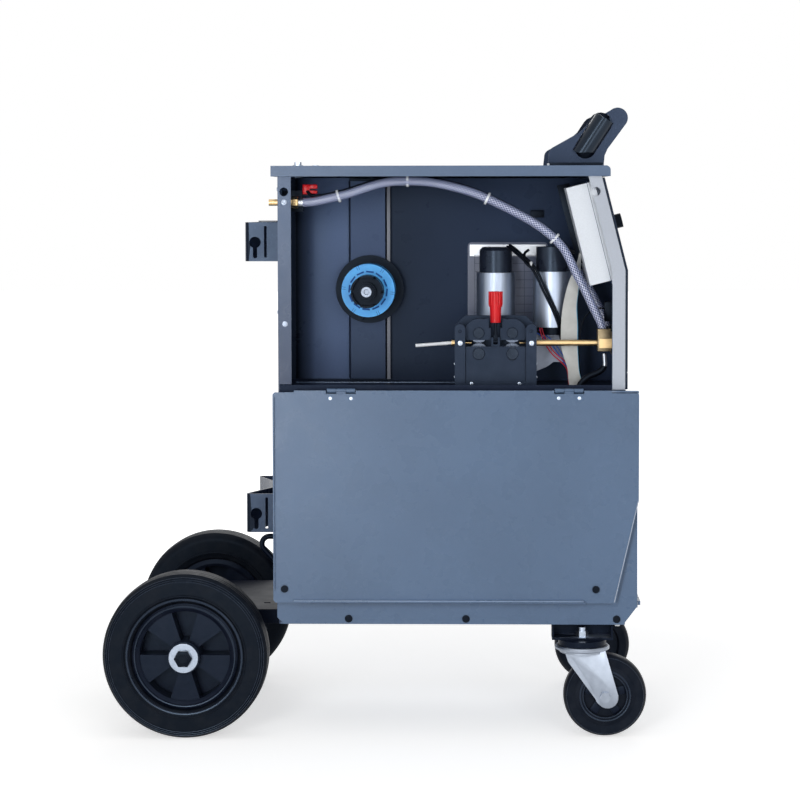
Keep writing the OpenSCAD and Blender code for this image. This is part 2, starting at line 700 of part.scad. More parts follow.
module spool_hub() color(black) difference() {
    union() {
        rod_y(hub_x, drum_y, hub_z, hub_flange_r, 4);
        rod_y(hub_x, barrel_end, hub_z, barrel_r, barrel_l);
        rod_y(hub_x, barrel_end + barrel_l - e, hub_z, barrel_core_r, drum_l + 2 * e);
        // drive pin for the spool
        rod_y(hub_x - 14.5, drum_y - 14, hub_z - 44.5, 4, 14 + e);
    }
    rod_y(hub_x, barrel_end - 1, hub_z, hub_axle_r + fit, 200);
    difference() {
        rod_y(hub_x, barrel_end - 1, hub_z, barrel_r - 3, 13);
        rod_y(hub_x, barrel_end - 2, hub_z, 14, 20);
    }
    for (a = [0:60:300]) translate([hub_x, 0, hub_z]) rotate([0, a, 0]) box(barrel_r - 3.5, barrel_r + 1,
        barrel_end - 1, barrel_end + 22, -2.5, 2.5);
}

module hub_drive_ring() color([0.29, 0.63, 0.90]) difference() {
    rod_y(hub_x, drum_y - drum_l, hub_z, drum_r, drum_l);
    rod_y(hub_x, drum_y - drum_l - 1, hub_z, barrel_core_r + fit, drum_l + 2);
    // thin pockets round the bore and pairs of shallow grooves, sunk from the front
    translate([hub_x, drum_y - drum_l, hub_z]) {
        for (a = [6:30:336]) rotate([0, a, 0]) box(barrel_r + 2.7, barrel_r + 5.1, -1, 6, -5.9, 5.9);
        for (a = [6:60:306], s = [-1.6, 1.6]) rotate([0, a, 0]) box(drum_r - 6.5, drum_r + 1, -1, 0.6, s - 0.3, s + 0.3);
    }
}

// ---- Gas supply ----
module gas_inlet_valve() {
    color(brass) {
        rod_x(rear_x - 17, inlet_y, inlet_z, 5, 21 + sheet);
        rod_x(rear_x - 3, inlet_y, inlet_z, 8.5, 3);
        rod_x(bay_x0, inlet_y, inlet_z, 9.5, 10, 6);
        rod_x(bay_x0 + 9, inlet_y, inlet_z, 6, 4);
        rod_x(bay_x0 + 12, inlet_y, inlet_z, 8.2, 6, 6);
        rod_x(bay_x0 + 17, inlet_y, inlet_z, 4.2, hose_route[0][0] - bay_x0 - 17);
        rod_y(bay_x0 + 5, inlet_y + 6, inlet_z, 4, 10);
    }
    color(black) box(bay_x0 + 3, bay_x0 + 31, inlet_y + 12, inlet_y + 40, inlet_z - 14, inlet_z + 18);
    color("red") for (z = [10, 18]) box(bay_x0 + 31 - e, bay_x0 + 50, inlet_y + 16, inlet_y + 22, inlet_z + z, inlet_z + z + 5);
}

function spline(p0, p1, p2, p3, t) = 0.5 * (2 * p1 + (p2 - p0) * t + (2 * p0 - 5 * p1 + 4 * p2 - p3) * t * t
    + (3 * p1 - p0 - 3 * p2 + p3) * t * t * t);
function smooth_route(p, n) = concat([for (i = [0:len(p) - 2], k = [0:n - 1])
    spline(p[max(i - 1, 0)], p[i], p[i + 1], p[min(i + 2, len(p) - 1)], k / n)], [p[len(p) - 1]]);
function unit(v) = v / norm(v);

// A tube of radius r along the points p
module swept_tube(p, r, sides = 10) {
    n = len(p);
    dirs = [for (i = [0:n - 1]) unit(p[min(i + 1, n - 1)] - p[max(i - 1, 0)])];
    rings = [for (i = [0:n - 1]) let (u = unit(cross(dirs[i], [0, 1, 0.02])), v = cross(dirs[i], u))
        for (k = [0:sides - 1]) p[i] + r * (cos(360 * k / sides) * u + sin(360 * k / sides) * v)];
    faces = concat([[for (k = [0:sides - 1]) k]],
        [for (i = [0:n - 2], k = [0:sides - 1]) let (a = i * sides + k, b = i * sides + (k + 1) % sides)
            [a, a + sides, b + sides, b]],
        [[for (k = [sides - 1:-1:0]) (n - 1) * sides + k]]);
    polyhedron(points = rings, faces = faces);
}

module gas_hose() color([0.65, 0.68, 0.76]) swept_tube(smooth_route(hose_route, 2), 6);
module power_cable() color(black) swept_tube(smooth_route(power_route, 2), 4.8);

// ---- Wire drive ----
module feed_motor_rear() {
    x = feeder_x + 63;
    y = divider_y - 2 - motor_r - 3;
    foot_z = deck_z + 66;
    cap_z = foot_z + 106;
    color(zinc) rod_z(x, y, foot_z, motor_r, cap_z - foot_z);
    color(black) {
        rod_z(x, y, cap_z - e, motor_r - 4.5, 34);
        translate([x, y, cap_z + 34 - e]) cylinder(r1 = motor_r - 4.5, r2 = motor_r - 9, h = 5);
        // worm gear box that turns the drive down to the feed rolls
        box(x - 34, x + 34, feeder_back + gap, divider_y - 0.5, foot_z - 44, foot_z + e);
    }
    // clamp foot to the divider
    color(black) box(x - 12, x + 12, y + motor_r - 4, divider_y, foot_z + 54, foot_z + 74);
}

module feed_motor_front() {
    x = feeder_x + 151;
    y = divider_y - 18 - motor_r;
    foot_z = deck_z + 88;
    cap_z = foot_z + 86;
    plate_z = foot_z - 12;
    color(zinc) rod_z(x, y, foot_z, motor_r, cap_z - foot_z);
    // cast gear case beside the feeder
    color(zinc) slab_y(y - 2, motor_r + 10) polygon([
        [x - 37.5, plate_z - 57], [x - 24.5, plate_z - 57], [x - 10, plate_z - 51], [x - 4, plate_z - 47],
        [x + 1, plate_z - 43], [x + 18.5, plate_z - 43], [x + 18.5, plate_z], [x - 1.5, plate_z],
        [x - 24.5, plate_z + 17], [x - 37.5, plate_z + 17]
    ]);
    color(black) {
        rod_z(x, y, cap_z - e, motor_r - 4, 38);
        rod_z(x, y, plate_z, motor_r - 6, foot_z - plate_z + e);
        box(x - 16, x + 16, y + motor_r - 10, divider_y, plate_z - 6, plate_z + 24);
    }
}

// Cross-section in X and Z of a feeder column with a round top
module column_outline(x, top) {
    translate([x, deck_z]) square([column_w, top - deck_z - column_w / 2]);
    translate([x + column_w / 2, top - column_w / 2]) circle(r = column_w / 2);
}

module feeder_body() color(black) {
    back = feeder_back - 7;
    difference() {
        union() {
            for (x = [feeder_x, feeder_x + feeder_w - column_w]) {
                slab_y(feeder_y, 15) column_outline(x, deck_z + feeder_h - 11);
                box(x, x + column_w, feeder_y + 15 - e, back + e, deck_z, arm_pivot_z - 27);
            }
            box(feeder_x, feeder_x + feeder_w, feeder_y + 2, back + e, deck_z, deck_z + foot_h);
            // back plate with sloping upper corners
            slab_y(back, 7) polygon([
                [feeder_x, deck_z], [feeder_x + feeder_w, deck_z], [feeder_x + feeder_w, deck_z + feeder_h - 15],
                [feeder_x + feeder_w - 16, deck_z + feeder_h], [feeder_x + 16, deck_z + feeder_h],
                [feeder_x, deck_z + feeder_h - 15]
            ]);
            // outer cheeks that hold the wire's tubes
            for (x = [feeder_x, feeder_x + feeder_w - 6])
                box(x, x + 6, feeder_y + 15 - e, back + e, deck_z, wire_z + 9);
            // block between the two pairs of rolls, which guides the wire
            box(feeder_mid - 6.5, feeder_mid + 6.5, arm_y - 2, back + e, wire_z - 12, wire_z + 3);
            // fork that carries the tension lever, in front of the arms
            box(feeder_mid - 6.5, feeder_mid + 6.5, arm_y - 9, arm_y - 0.6, wire_z - 12, wire_z + 9);
        }
        // wire way
        rod_x(feeder_x - 1, wire_y, wire_z, 1.5, feeder_w + 2);
        rod_x(feeder_x - 1, wire_y, wire_z, 4 + fit, 5);
        rod_x(feeder_x + feeder_w - 6, wire_y, wire_z, outlet_r + fit, 7);
        // shaft holes of the feed rolls
        for (s = [-1, 1]) rod_y(feeder_mid + s * roll_gap / 2, back - 1, feed_z, 5 + fit, 9);
        box(feeder_mid - 3.5, feeder_mid + 3.5, lever_y - 20, lever_y + 4.2, lever_z - 4.5, lever_z + 20);
    }
    for (x = arm_pivots) rod_y(x, feeder_y + 15 - e, arm_pivot_z, pin_r, feeder_back - 7 - feeder_y - 15 + 2 * e);
    rod_x(feeder_mid - 6.5, lever_y, lever_z, lever_pin_r, 13);
}

module feeder_cover() color(black) {
    x0 = feeder_x + column_w + gap;
    x1 = feeder_x + feeder_w - column_w - gap;
    top = wire_z - 4.5;
    y = feeder_y + 5;
    difference() {
        union() {
            slab_y(y, 3) polygon([[x0, deck_z + foot_h], [x1, deck_z + foot_h], [x1, top - 2],
                [x1 - 2, top], [x0 + 2, top], [x0, top - 2]]);
            box(x0 + 4, x1 - 4, y - 1, y + e, top - 3, top - 1);
            for (x = [x0, x1 - 2.5]) box(x, x + 2.5, y + 3 - e, feeder_back - 8, deck_z + foot_h, deck_z + foot_h + 14);
        }
        translate([0, y - 1, 0]) {
            rod_y(feeder_mid - roll_gap / 2, -1, feed_z, 9.3, 10);
            slab_y(-1, 10) hull() for (z = [-2.4, 2.4]) translate([feeder_mid + roll_gap / 2, feed_z + z])
                circle(r = 7.8, $fn = 32);
        }
    }
}

// Feed roll on its motor shaft; its edge is knurled
module feed_roll(x, boss_r) color(zinc) {
    difference() {
        rod_y(x, wire_y - roll_w / 2, feed_z, roll_r, roll_w);
        for (a = [0:20:340]) translate([x, 0, feed_z]) rotate([0, a, 0]) rod_y(roll_r + 1.2, wire_y - roll_w / 2 - 1, 0, 1.7,
            4, 16);
    }
    rod_y(x, feeder_y + 5.5, feed_z, boss_r, wire_y - roll_w / 2 - feeder_y - 5.5 + e);
    rod_y(x, wire_y, feed_z, 5, feeder_back + gap / 2 - wire_y);
}
module feed_roll_rear() feed_roll(feeder_mid - roll_gap / 2, 8.6);
module feed_roll_front() feed_roll(feeder_mid + roll_gap / 2, 7);

module pressure_roll(x) color(zinc) difference() {
    rod_y(x, arm_y + 3.3, press_z, roll_r, roll_w);
    rod_y(x, arm_y, press_z, 4 + fit, 30);
    for (a = [10:20:350]) translate([x, 0, press_z]) rotate([0, a, 0]) rod_y(roll_r + 1.2, arm_y + 2, 0, 1.7, 5, 16);
}
module pressure_roll_rear() pressure_roll(feeder_mid - roll_gap / 2);
module pressure_roll_front() pressure_roll(feeder_mid + roll_gap / 2);

// Pressure arm: hinged at its outer end, with a cap over its roll
module pressure_arm(s) color(black) {
    px = feeder_mid - s * (feeder_mid - arm_pivots[0]);
    rx = feeder_mid - s * roll_gap / 2;
    tip = feeder_mid - s * 7;
    link = px + s * (abs(rx - px) - roll_r - 3);
    foot = wire_z + 4.6;
    difference() {
        union() {
            intersection() {
                union() {
                    // front cheek, a quarter of a disc
                    slab_y(arm_y, 3) translate([feeder_mid - s * 10, foot]) circle(r = 32.5);
                    rod_y(rx, arm_y, press_z, roll_r + 6.5, arm_t);
                }
                box(min(px, tip), max(px, tip), arm_y - 1, arm_y + arm_t + 1, foot, foot + 60);
            }
            // pivot ear
            rod_y(px, arm_y, arm_pivot_z, 7, arm_t);
            box(min(px, link), max(px, link), arm_y, arm_y + arm_t, arm_pivot_z - 3.5, arm_pivot_z + 4);
            rod_y(rx, arm_y - 1.5, press_z, 8.4, 1.5 + e);
        }
        rod_y(px, arm_y - 1, arm_pivot_z, pin_r + fit, arm_t + 2);
        // room for the roll
        rod_y(rx, arm_y + 3, press_z, roll_r + 1.5, arm_t - 5);
        // step of the tip and screw slot
        box(min(feeder_mid - s * 10, feeder_mid), max(feeder_mid - s * 10, feeder_mid), arm_y - 1, arm_y + arm_t + 1,
            wire_z + 23, wire_z + 60);
        translate([rx, arm_y - 2, press_z]) rotate([0, -35, 0]) box(-8, 8, 0, 1.2, -0.6, 0.6);
    }
    rod_y(rx, arm_y, press_z, 4, arm_t);
}
module pressure_arm_rear() pressure_arm(1);
module pressure_arm_front() pressure_arm(-1);

module tension_lever() {
    y = lever_y;
    color(black) difference() {
        union() {
            box(feeder_mid - 3, feeder_mid + 3, y - 3, y + 3, lever_z, lever_z + 9);
            rod_x(feeder_mid - 3, y, lever_z, 3.8, 6);
            rod_z(feeder_mid, y - 6.5, lever_z + 7, 2.8, 24);
            box(feeder_mid - 3, feeder_mid + 3, y - 9, y, lever_z + 5, lever_z + 10);
        }
        rod_x(feeder_mid - 5, y, lever_z, lever_pin_r + fit, 10);
    }
    color("red") translate([feeder_mid, y - 6.5, 0]) {
        translate([0, 0, lever_z + 29]) cylinder(r1 = 7.8, r2 = 9, h = 24);
        translate([0, 0, lever_z + 53 - e]) cylinder(r = 10.5, h = 3);
        translate([0, 0, lever_z + 56 - 2 * e]) difference() {
            cylinder(r = 11, h = 20);
            for (a = [0:30:330]) rotate(a) translate([11.6, 0, -1]) cylinder(r = 1.6, h = 30, $fn = 16);
            translate([0, 0, 17]) cylinder(r = 6, h = 4);
        }
    }
}

module wire_inlet_tube() {
    color(brass) difference() {
        rod_x(feeder_x - 5, wire_y, wire_z, 5, 5);
        rod_x(feeder_x - 9, wire_y, wire_z, 1.5, 12);
    }
    color(brass) difference() {
        rod_x(feeder_x - e, wire_y, wire_z, 4, 4);
        rod_x(feeder_x - 9, wire_y, wire_z, 1.5, 18);
    }
    color("white") translate([feeder_x - 5 + e, wire_y, wire_z]) rotate([0, -94.5, 0]) difference() {
        cylinder(r = 2.5, h = 55);
        translate([0, 0, -1]) cylinder(r = 1.2, h = 60);
    }
}

// Brass body of the torch socket, with the tube that brings the wire to it
module torch_socket() color(brass) {
    x0 = flange_inner_x - 17;
    nut = 20.5;
    bore = 5;
    difference() {
        rod_x(feeder_x + feeder_w - 5, wire_y, wire_z, outlet_r, x0 - feeder_x - feeder_w + 5 + e);
        rod_x(feeder_x + feeder_w - 6, wire_y, wire_z, 1.5, x0);
    }
    difference() {
        union() {
            translate([x0, wire_y, wire_z]) rotate([0, 90, 0]) rotate(22.5)
                cylinder(r = 17 / cos(22.5), h = nut, $fn = 8);
            rod_x(x0 + nut - e, wire_y, wire_z, socket_r, frame_x + fascia_t + 2 - x0 - nut + e);
            rod_x(frame_x - sheet - 3, wire_y, wire_z, 17, 3 - gap, 6);
        }
        rod_x(frame_x - 20, wire_y, wire_z, bore, 40);
        rod_x(x0 - 1, wire_y, wire_z, 1.5, 60);
    }
}

module ribbon_cable() color([0.62, 0.62, 0.60]) difference() {
    slab_y(-119, 1.4) polygon([
        [305, deck_z + 204], [321, deck_z + 204], [314, deck_z + 168], [304, deck_z + 102], [308, deck_z + 82],
        [311, deck_z + 60], [311, deck_z + 30], [316, deck_z], [297, deck_z], [293, deck_z + 25],
        [286, deck_z + 60], [285, deck_z + 82], [284, deck_z + 102], [296, deck_z + 168]
    ]);
    // it ends on the control box
    on_panel() box(-56, 60, -200, 0, -60, 200);
}

// ---- Small pieces ----
module cabinet_fasteners() {
    plugs_x = [rear_x + 105, rear_x + 282, front_x - 31];
    y = -half_w - sheet;
    color(black) for (x = plugs_x) {
        rod_y(x, y - 1.6, bottom_z + 8.5, 5.7, 1.6);
        translate([x, y - 1.6 + e, bottom_z + 8.5]) rotate([90, 0, 0]) cylinder(r1 = 5.7, r2 = 4, h = 1);
    }
    // roof screws
    color(zinc) both_sides() {
        rod_z(rear_x + 30, -half_w + 12, roof_z, 8, 1);
        rod_z(rear_x + 30, -half_w + 12, roof_z + 1 - e, 5.5, 4.5, 6);
    }
}

module mains_gland() color(black) {
    y = gland_y;
    z = gland_z;
    difference() {
        union() {
            rod_x(rear_x - 4, y, z, 15, 4, 6);
            rod_x(rear_x - 18, y, z, 11.5, 14 + e);
            rod_x(rear_x - 1, y, z, 10.8, 12);
            rod_x(bay_x0, y, z, 15, 5, 6);
        }
        rod_x(rear_x - 20, y, z, 6, 50);
    }
}

// ---- Inside the lower cabinet ----
module transformer() {
    x = transformer_x;
    t = tray_top;
    color(dark_blue) difference() {
        box(x, x + 150, -70, 70, t, t + 130);
        for (dx = [28, 88]) box(x + dx, x + dx + 34, -80, 80, t + 25, t + 105);
    }
    // windings round the middle limb and outside it
    color(copper) difference() {
        box(x + 31, x + 119, -92, 92, t + 30, t + 100);
        box(x + 61.5, x + 88.5, -70.5, 70.5, t + 29, t + 101);
        box(x + 29, x + 121, -70.5, 70.5, t + 101, t + 120);
    }
}

module welding_choke() {
    x = choke_x;
    t = tray_top;
    color(dark_blue) difference() {
        box(x, x + 80, -50, 50, t, t + 100);
        box(x + 20, x + 60, -60, 60, t + 20, t + 80);
    }
    color(copper) for (s = [0, 1]) difference() {
        box(x - 16 + s * 58, x + 38 + s * 58, -66, 66, t + 24, t + 76);
        box(x - 0.5 + s * 60, x + 20.5 + s * 60, -50.5, 50.5, t + 23, t + 77);
    }
}

module rectifier_stack() color(zinc) {
    x = rectifier_x;
    t = tray_top;
    for (i = [0:7]) box(x, x + 90, 20 + i * 14, 23 + i * 14, t + 12, t + 150);
    box(x + 36, x + 54, 20, 121, t + 70, t + 90);
    for (dx = [6, 74]) box(x + dx, x + dx + 10, 20, 121, t, t + 12 + e);
}

module fan_frame() color(black) {
    x0 = bay_x0;
    w = fan_w / 2;
    difference() {
        box(x0, x0 + 38, fan_y - w, fan_y + w, fan_z - w, fan_z + w);
        rod_x(x0 - 1, fan_y, fan_z, fan_r + 2, 40);
    }
    difference() {
        for (a = [0:120:240]) translate([0, fan_y, fan_z]) rotate([a, 0, 0]) box(x0 + 33, x0 + 38, -3, 3, 12, fan_r + 3);
        rod_x(x0 + 30, fan_y, fan_z, 18, 10);
    }
    rod_x(x0 + 31, fan_y, fan_z, 20, 7);
    rod_x(x0 + 6, fan_y, fan_z, 2.5, 26);
}

module fan_rotor() color(black) {
    x0 = bay_x0 + 5;
    difference() {
        rod_x(x0, fan_y, fan_z, 20, 25);
        rod_x(x0 - 1, fan_y, fan_z, 2.5 + fit, 27);
    }
    for (i = [0:6]) translate([x0 + 12, fan_y, fan_z]) rotate([360 / 7 * i, 0, 0]) translate([0, 0, 19])
        rotate([0, 0, 40]) translate([-12, -1, 0]) cube([24, 2, fan_r - 20]);
}

module knob(y) on_panel() color(black) difference() {
    union() {
        rod_x(fascia_t + gap, y, knob_up, 11, 14);
        rod_x(fascia_t + gap, y, knob_up, 13, 4);
        rod_x(-8, y, knob_up, 4, 14);
    }
    for (a = [0:45:315]) translate([0, y, knob_up]) rotate([a, 0, 0]) rod_x(fascia_t + 5, 0, 12, 2, 20, 16);
    translate([0, y, knob_up]) box(fascia_t + 13.5, fascia_t + 15, -0.8, 0.8, 2, 12);
}
module knob_near() knob(knob_ys[0]);
module knob_far() knob(knob_ys[1]);

base_tray();
rear_panel();
front_lower_panel();
far_side_panel();
lower_side_panel();
divider_wall();
compartment_floor();
roof_cover();
front_frame();
front_fascia();
control_box();
handle_frame();
torch_holders();
bottle_bracket_upper();
bottle_bracket_lower();
bottle_platform();
cable_loop();
rear_axle();
caster_brackets();
gas_inlet_valve();
gas_hose();
hub_axle();
feed_motor_rear();
feed_motor_front();
feeder_body();
feeder_cover();
wire_inlet_tube();
torch_socket();
ribbon_cable();
power_cable();
door_hinges();
cabinet_fasteners();
mains_gland();
transformer();
welding_choke();
rectifier_stack();
fan_frame();
fan_rotor();
side_door();
latch_rear();
latch_front();
spool_hub();
hub_drive_ring();
tension_lever();
pressure_arm_rear();
pressure_arm_front();
pressure_roll_rear();
pressure_roll_front();
feed_roll_rear();
feed_roll_front();
knob_near();
knob_far();
rear_tyre_near();
rear_rim_near();
rear_tyre_far();
rear_rim_far();
caster_fork_near();
caster_fork_far();
caster_wheel_near();
caster_wheel_far();
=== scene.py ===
import bpy, bmesh, json, math
from mathutils import Matrix, Vector

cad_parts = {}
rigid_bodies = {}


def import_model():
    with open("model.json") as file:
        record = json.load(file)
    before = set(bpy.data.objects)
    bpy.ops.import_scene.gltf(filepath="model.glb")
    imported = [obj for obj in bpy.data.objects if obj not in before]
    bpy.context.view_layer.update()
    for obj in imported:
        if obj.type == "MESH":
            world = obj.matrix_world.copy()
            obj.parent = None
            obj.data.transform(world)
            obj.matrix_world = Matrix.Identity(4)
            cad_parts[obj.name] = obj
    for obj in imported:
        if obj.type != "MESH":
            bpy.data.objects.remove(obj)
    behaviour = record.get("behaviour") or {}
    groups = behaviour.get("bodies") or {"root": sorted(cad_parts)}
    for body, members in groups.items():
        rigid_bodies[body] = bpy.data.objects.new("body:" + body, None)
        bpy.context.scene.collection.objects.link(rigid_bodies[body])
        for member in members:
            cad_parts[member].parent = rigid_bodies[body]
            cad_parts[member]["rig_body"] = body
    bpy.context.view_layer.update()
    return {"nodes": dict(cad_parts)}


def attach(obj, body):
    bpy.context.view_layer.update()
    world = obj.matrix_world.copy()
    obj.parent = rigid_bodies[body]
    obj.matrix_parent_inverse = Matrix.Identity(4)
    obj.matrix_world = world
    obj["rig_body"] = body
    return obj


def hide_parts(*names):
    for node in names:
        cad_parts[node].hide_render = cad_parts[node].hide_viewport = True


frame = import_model()
nodes = frame["nodes"]
scene = bpy.context.scene
print("frame loaded:", len(nodes), "nodes")


# materials
neutral = (1.0, 1.0, 1.0)


def linear(r, g, b):
    # a colour picked on screen, 0 to 255, as the shader wants it
    return tuple((c / 255 / 12.92) if c <= 10 else ((c / 255 + 0.055) / 1.055) ** 2.4 for c in (r, g, b)) + (1.0,)


def feed(node, values):
    # gives a node its inputs: a socket is linked, anything else is set
    for key, value in values.items():
        if isinstance(value, bpy.types.NodeSocket):
            node.id_data.links.new(value, node.inputs[key])
        else:
            node.inputs[key].default_value = value
    return node


def mixed(tree, a, b, factor, kind="MIX"):
    mix = tree.nodes.new("ShaderNodeMix")
    mix.data_type, mix.blend_type = "RGBA", kind
    return feed(mix, {0: factor, 6: a, 7: b}).outputs[2]


def maths(tree, operation, *values):
    node = tree.nodes.new("ShaderNodeMath")
    node.operation = operation
    return feed(node, dict(enumerate(values))).outputs[0]


def spread(tree, value, low, high, start=0.35, end=0.65):
    # start to end becomes low to high
    node = tree.nodes.new("ShaderNodeMapRange")
    return feed(node, {0: value, 1: start, 2: end, 3: low, 4: high}).outputs[0]


def noise(tree, vector, scale, detail, roughness=0.5):
    node = tree.nodes.new("ShaderNodeTexNoise")
    return feed(node, {"Vector": vector, "Scale": scale, "Detail": detail, "Roughness": roughness}).outputs["Fac"]


def apart(tree, vector):
    return feed(tree.nodes.new("ShaderNodeSeparateXYZ"), {0: vector}).outputs


def startMaterial(name):
    made = bpy.data.materials.new(name)
    made.use_nodes = True
    tree = made.node_tree
    shader = tree.nodes["Principled BSDF"]
    place = tree.nodes.new("ShaderNodeTexCoord").outputs["Object"]
    return made, tree, shader, place


def bumped(tree, shader, height, strength, distance):
    bump = feed(tree.nodes.new("ShaderNodeBump"), {"Strength": strength, "Distance": distance, "Height": height})
    feed(shader, {"Normal": bump.outputs[0]})


def scaled(colour, factor):
    return tuple(min(1, c * factor) for c in colour[:3]) + (1.0,)


def powderCoat(name, colour, roughness, peel=0.12, drift=0.05, dust=0.0, shine=0.5, glint=neutral, paintedShade=None):
    # oven-baked paint: slow drift of the tone, fine orange peel, a little dust;
    # paintedShade is painted light and shade: a second colour, an axis, and the two places in metres between which it
    # gives way to the first
    made, tree, shader, place = startMaterial(name)
    base = linear(*colour)
    slow = spread(tree, noise(tree, place, 5.0, 2.0), 0.0, 1.0)
    fine = noise(tree, place, 420.0, 2.0)
    tone = mixed(tree, scaled(base, 1 - drift), scaled(base, 1 + drift), slow)
    grain = mixed(tree, (0.93, 0.93, 0.93, 1), (1.07, 1.07, 1.07, 1), fine)
    tone = mixed(tree, tone, grain, 1.0, "MULTIPLY")
    if dust:
        specks = spread(tree, noise(tree, place, 60.0, 6.0, 0.7), 0.0, dust, 0.5, 0.8)
        tone = mixed(tree, tone, linear(150, 158, 170), specks)
    # painted light and shade: towards one end of the axis the tone gives way to the darker second colour
    if paintedShade:
        second, axis, start, end = paintedShade
        tone = mixed(tree, linear(*second), tone, spread(tree, apart(tree, place)[axis], 0.0, 1.0, start, end))
    worn = spread(tree, noise(tree, place, 35.0, 4.0), roughness - 0.03, roughness + 0.04)
    feed(shader, {"Base Color": tone, "Roughness": worn, "Specular IOR Level": shine, "Specular Tint": glint + (1.0,)})
    bumped(tree, shader, fine, peel, 0.0004)
    return made


def plated(name, colour, roughness, grain, drift=0.12, metallic=1.0):
    # rolled or turned metal: streaks along the grain, and a slow tarnish
    made, tree, shader, place = startMaterial(name)
    base = linear(*colour)
    stretched = feed(tree.nodes.new("ShaderNodeMapping"), {"Vector": place, "Scale": grain}).outputs[0]
    streaks = noise(tree, stretched, 1.0, 4.0)
    tarnish = spread(tree, noise(tree, place, 26.0, 4.0, 0.65), 0.0, 1.0)
    tone = mixed(tree, scaled(base, 1 - drift), base, tarnish)
    tone = mixed(tree, tone, mixed(tree, (0.82, 0.83, 0.85, 1), (1.1, 1.1, 1.1, 1), streaks), 1.0, "MULTIPLY")
    worn = spread(tree, streaks, roughness - 0.06, roughness + 0.12)
    feed(shader, {"Base Color": tone, "Roughness": worn, "Metallic": metallic})
    bumped(tree, shader, streaks, 0.12, 0.0003)
    return made


def moulded(name, colour, roughness, grain=0.15, scale=900.0, wear=0.0, coat=0.0, shine=0.5, glint=neutral):
    # moulded plastic or rubber: spark-eroded grain, faint handling marks
    made, tree, shader, place = startMaterial(name)
    base = linear(*colour)
    marks = spread(tree, noise(tree, place, 45.0, 5.0, 0.6), 0.0, 1.0, 0.4, 0.75)
    pale = tuple(min(1, c * 1.25 + 0.004 + wear * 0.05) for c in base[:3]) + (1.0,)
    worn = spread(tree, marks, roughness, roughness + 0.12, 0.0, 1.0)
    feed(shader, {"Base Color": mixed(tree, base, pale, marks), "Roughness": worn, "Coat Weight": coat,
                  "Specular IOR Level": shine, "Specular Tint": glint + (1.0,)})
    bumped(tree, shader, noise(tree, place, scale, 2.0), grain, 0.0004)
    return made


def alongRoute(tree):
    # the piece's own UV map: across or around it, and along it
    uv = tree.nodes.new("ShaderNodeUVMap")
    uv.uv_map = "route"
    return apart(tree, uv.outputs[0])[:2]


def braidedHose(name, jacket, thread):
    # clear jacket over a crossed thread braid
    made, tree, shader, place = startMaterial(name)
    around, along = alongRoute(tree)
    waves = []
    for way in (1, -1):
        turn = maths(tree, "MULTIPLY_ADD", along, 190.0 * way, maths(tree, "MULTIPLY", around, 9.0))
        waves.append(maths(tree, "SINE", maths(tree, "MULTIPLY", turn, 2 * math.pi)))
    braid = maths(tree, "MAXIMUM", *waves)
    threads = spread(tree, braid, 0.0, 1.0, 0.55, 0.95)
    feed(shader, {"Base Color": mixed(tree, linear(*jacket), linear(*thread), threads), "Roughness": 0.22,
                  "Coat Weight": 0.5, "Subsurface Weight": 0.1, "Subsurface Radius": (0.002, 0.002, 0.002)})
    bumped(tree, shader, threads, 0.25, 0.0006)
    return made


def ribbonSkin(name, colour, stripe):
    # flat cable: one ridge for each conductor, painted shade in the grooves between them, and a coloured first
    # conductor
    made, tree, shader, place = startMaterial(name)
    across = alongRoute(tree)[0]
    ridge = maths(tree, "ABSOLUTE", maths(tree, "SINE", maths(tree, "MULTIPLY", across, 26 * math.pi)))
    edge = maths(tree, "GREATER_THAN", across, 0.955)
    # the grooves between the ridges darkened: painted shade
    tone = mixed(tree, linear(*(c * 0.86 for c in colour)), linear(*colour), ridge)
    tone = mixed(tree, tone, linear(*stripe), edge)
    soil = spread(tree, noise(tree, place, 60.0, 4.0), 0.0, 0.25)
    feed(shader, {"Base Color": mixed(tree, tone, linear(150, 152, 146), soil), "Roughness": 0.42})
    bumped(tree, shader, ridge, 0.5, 0.0003)
    return made


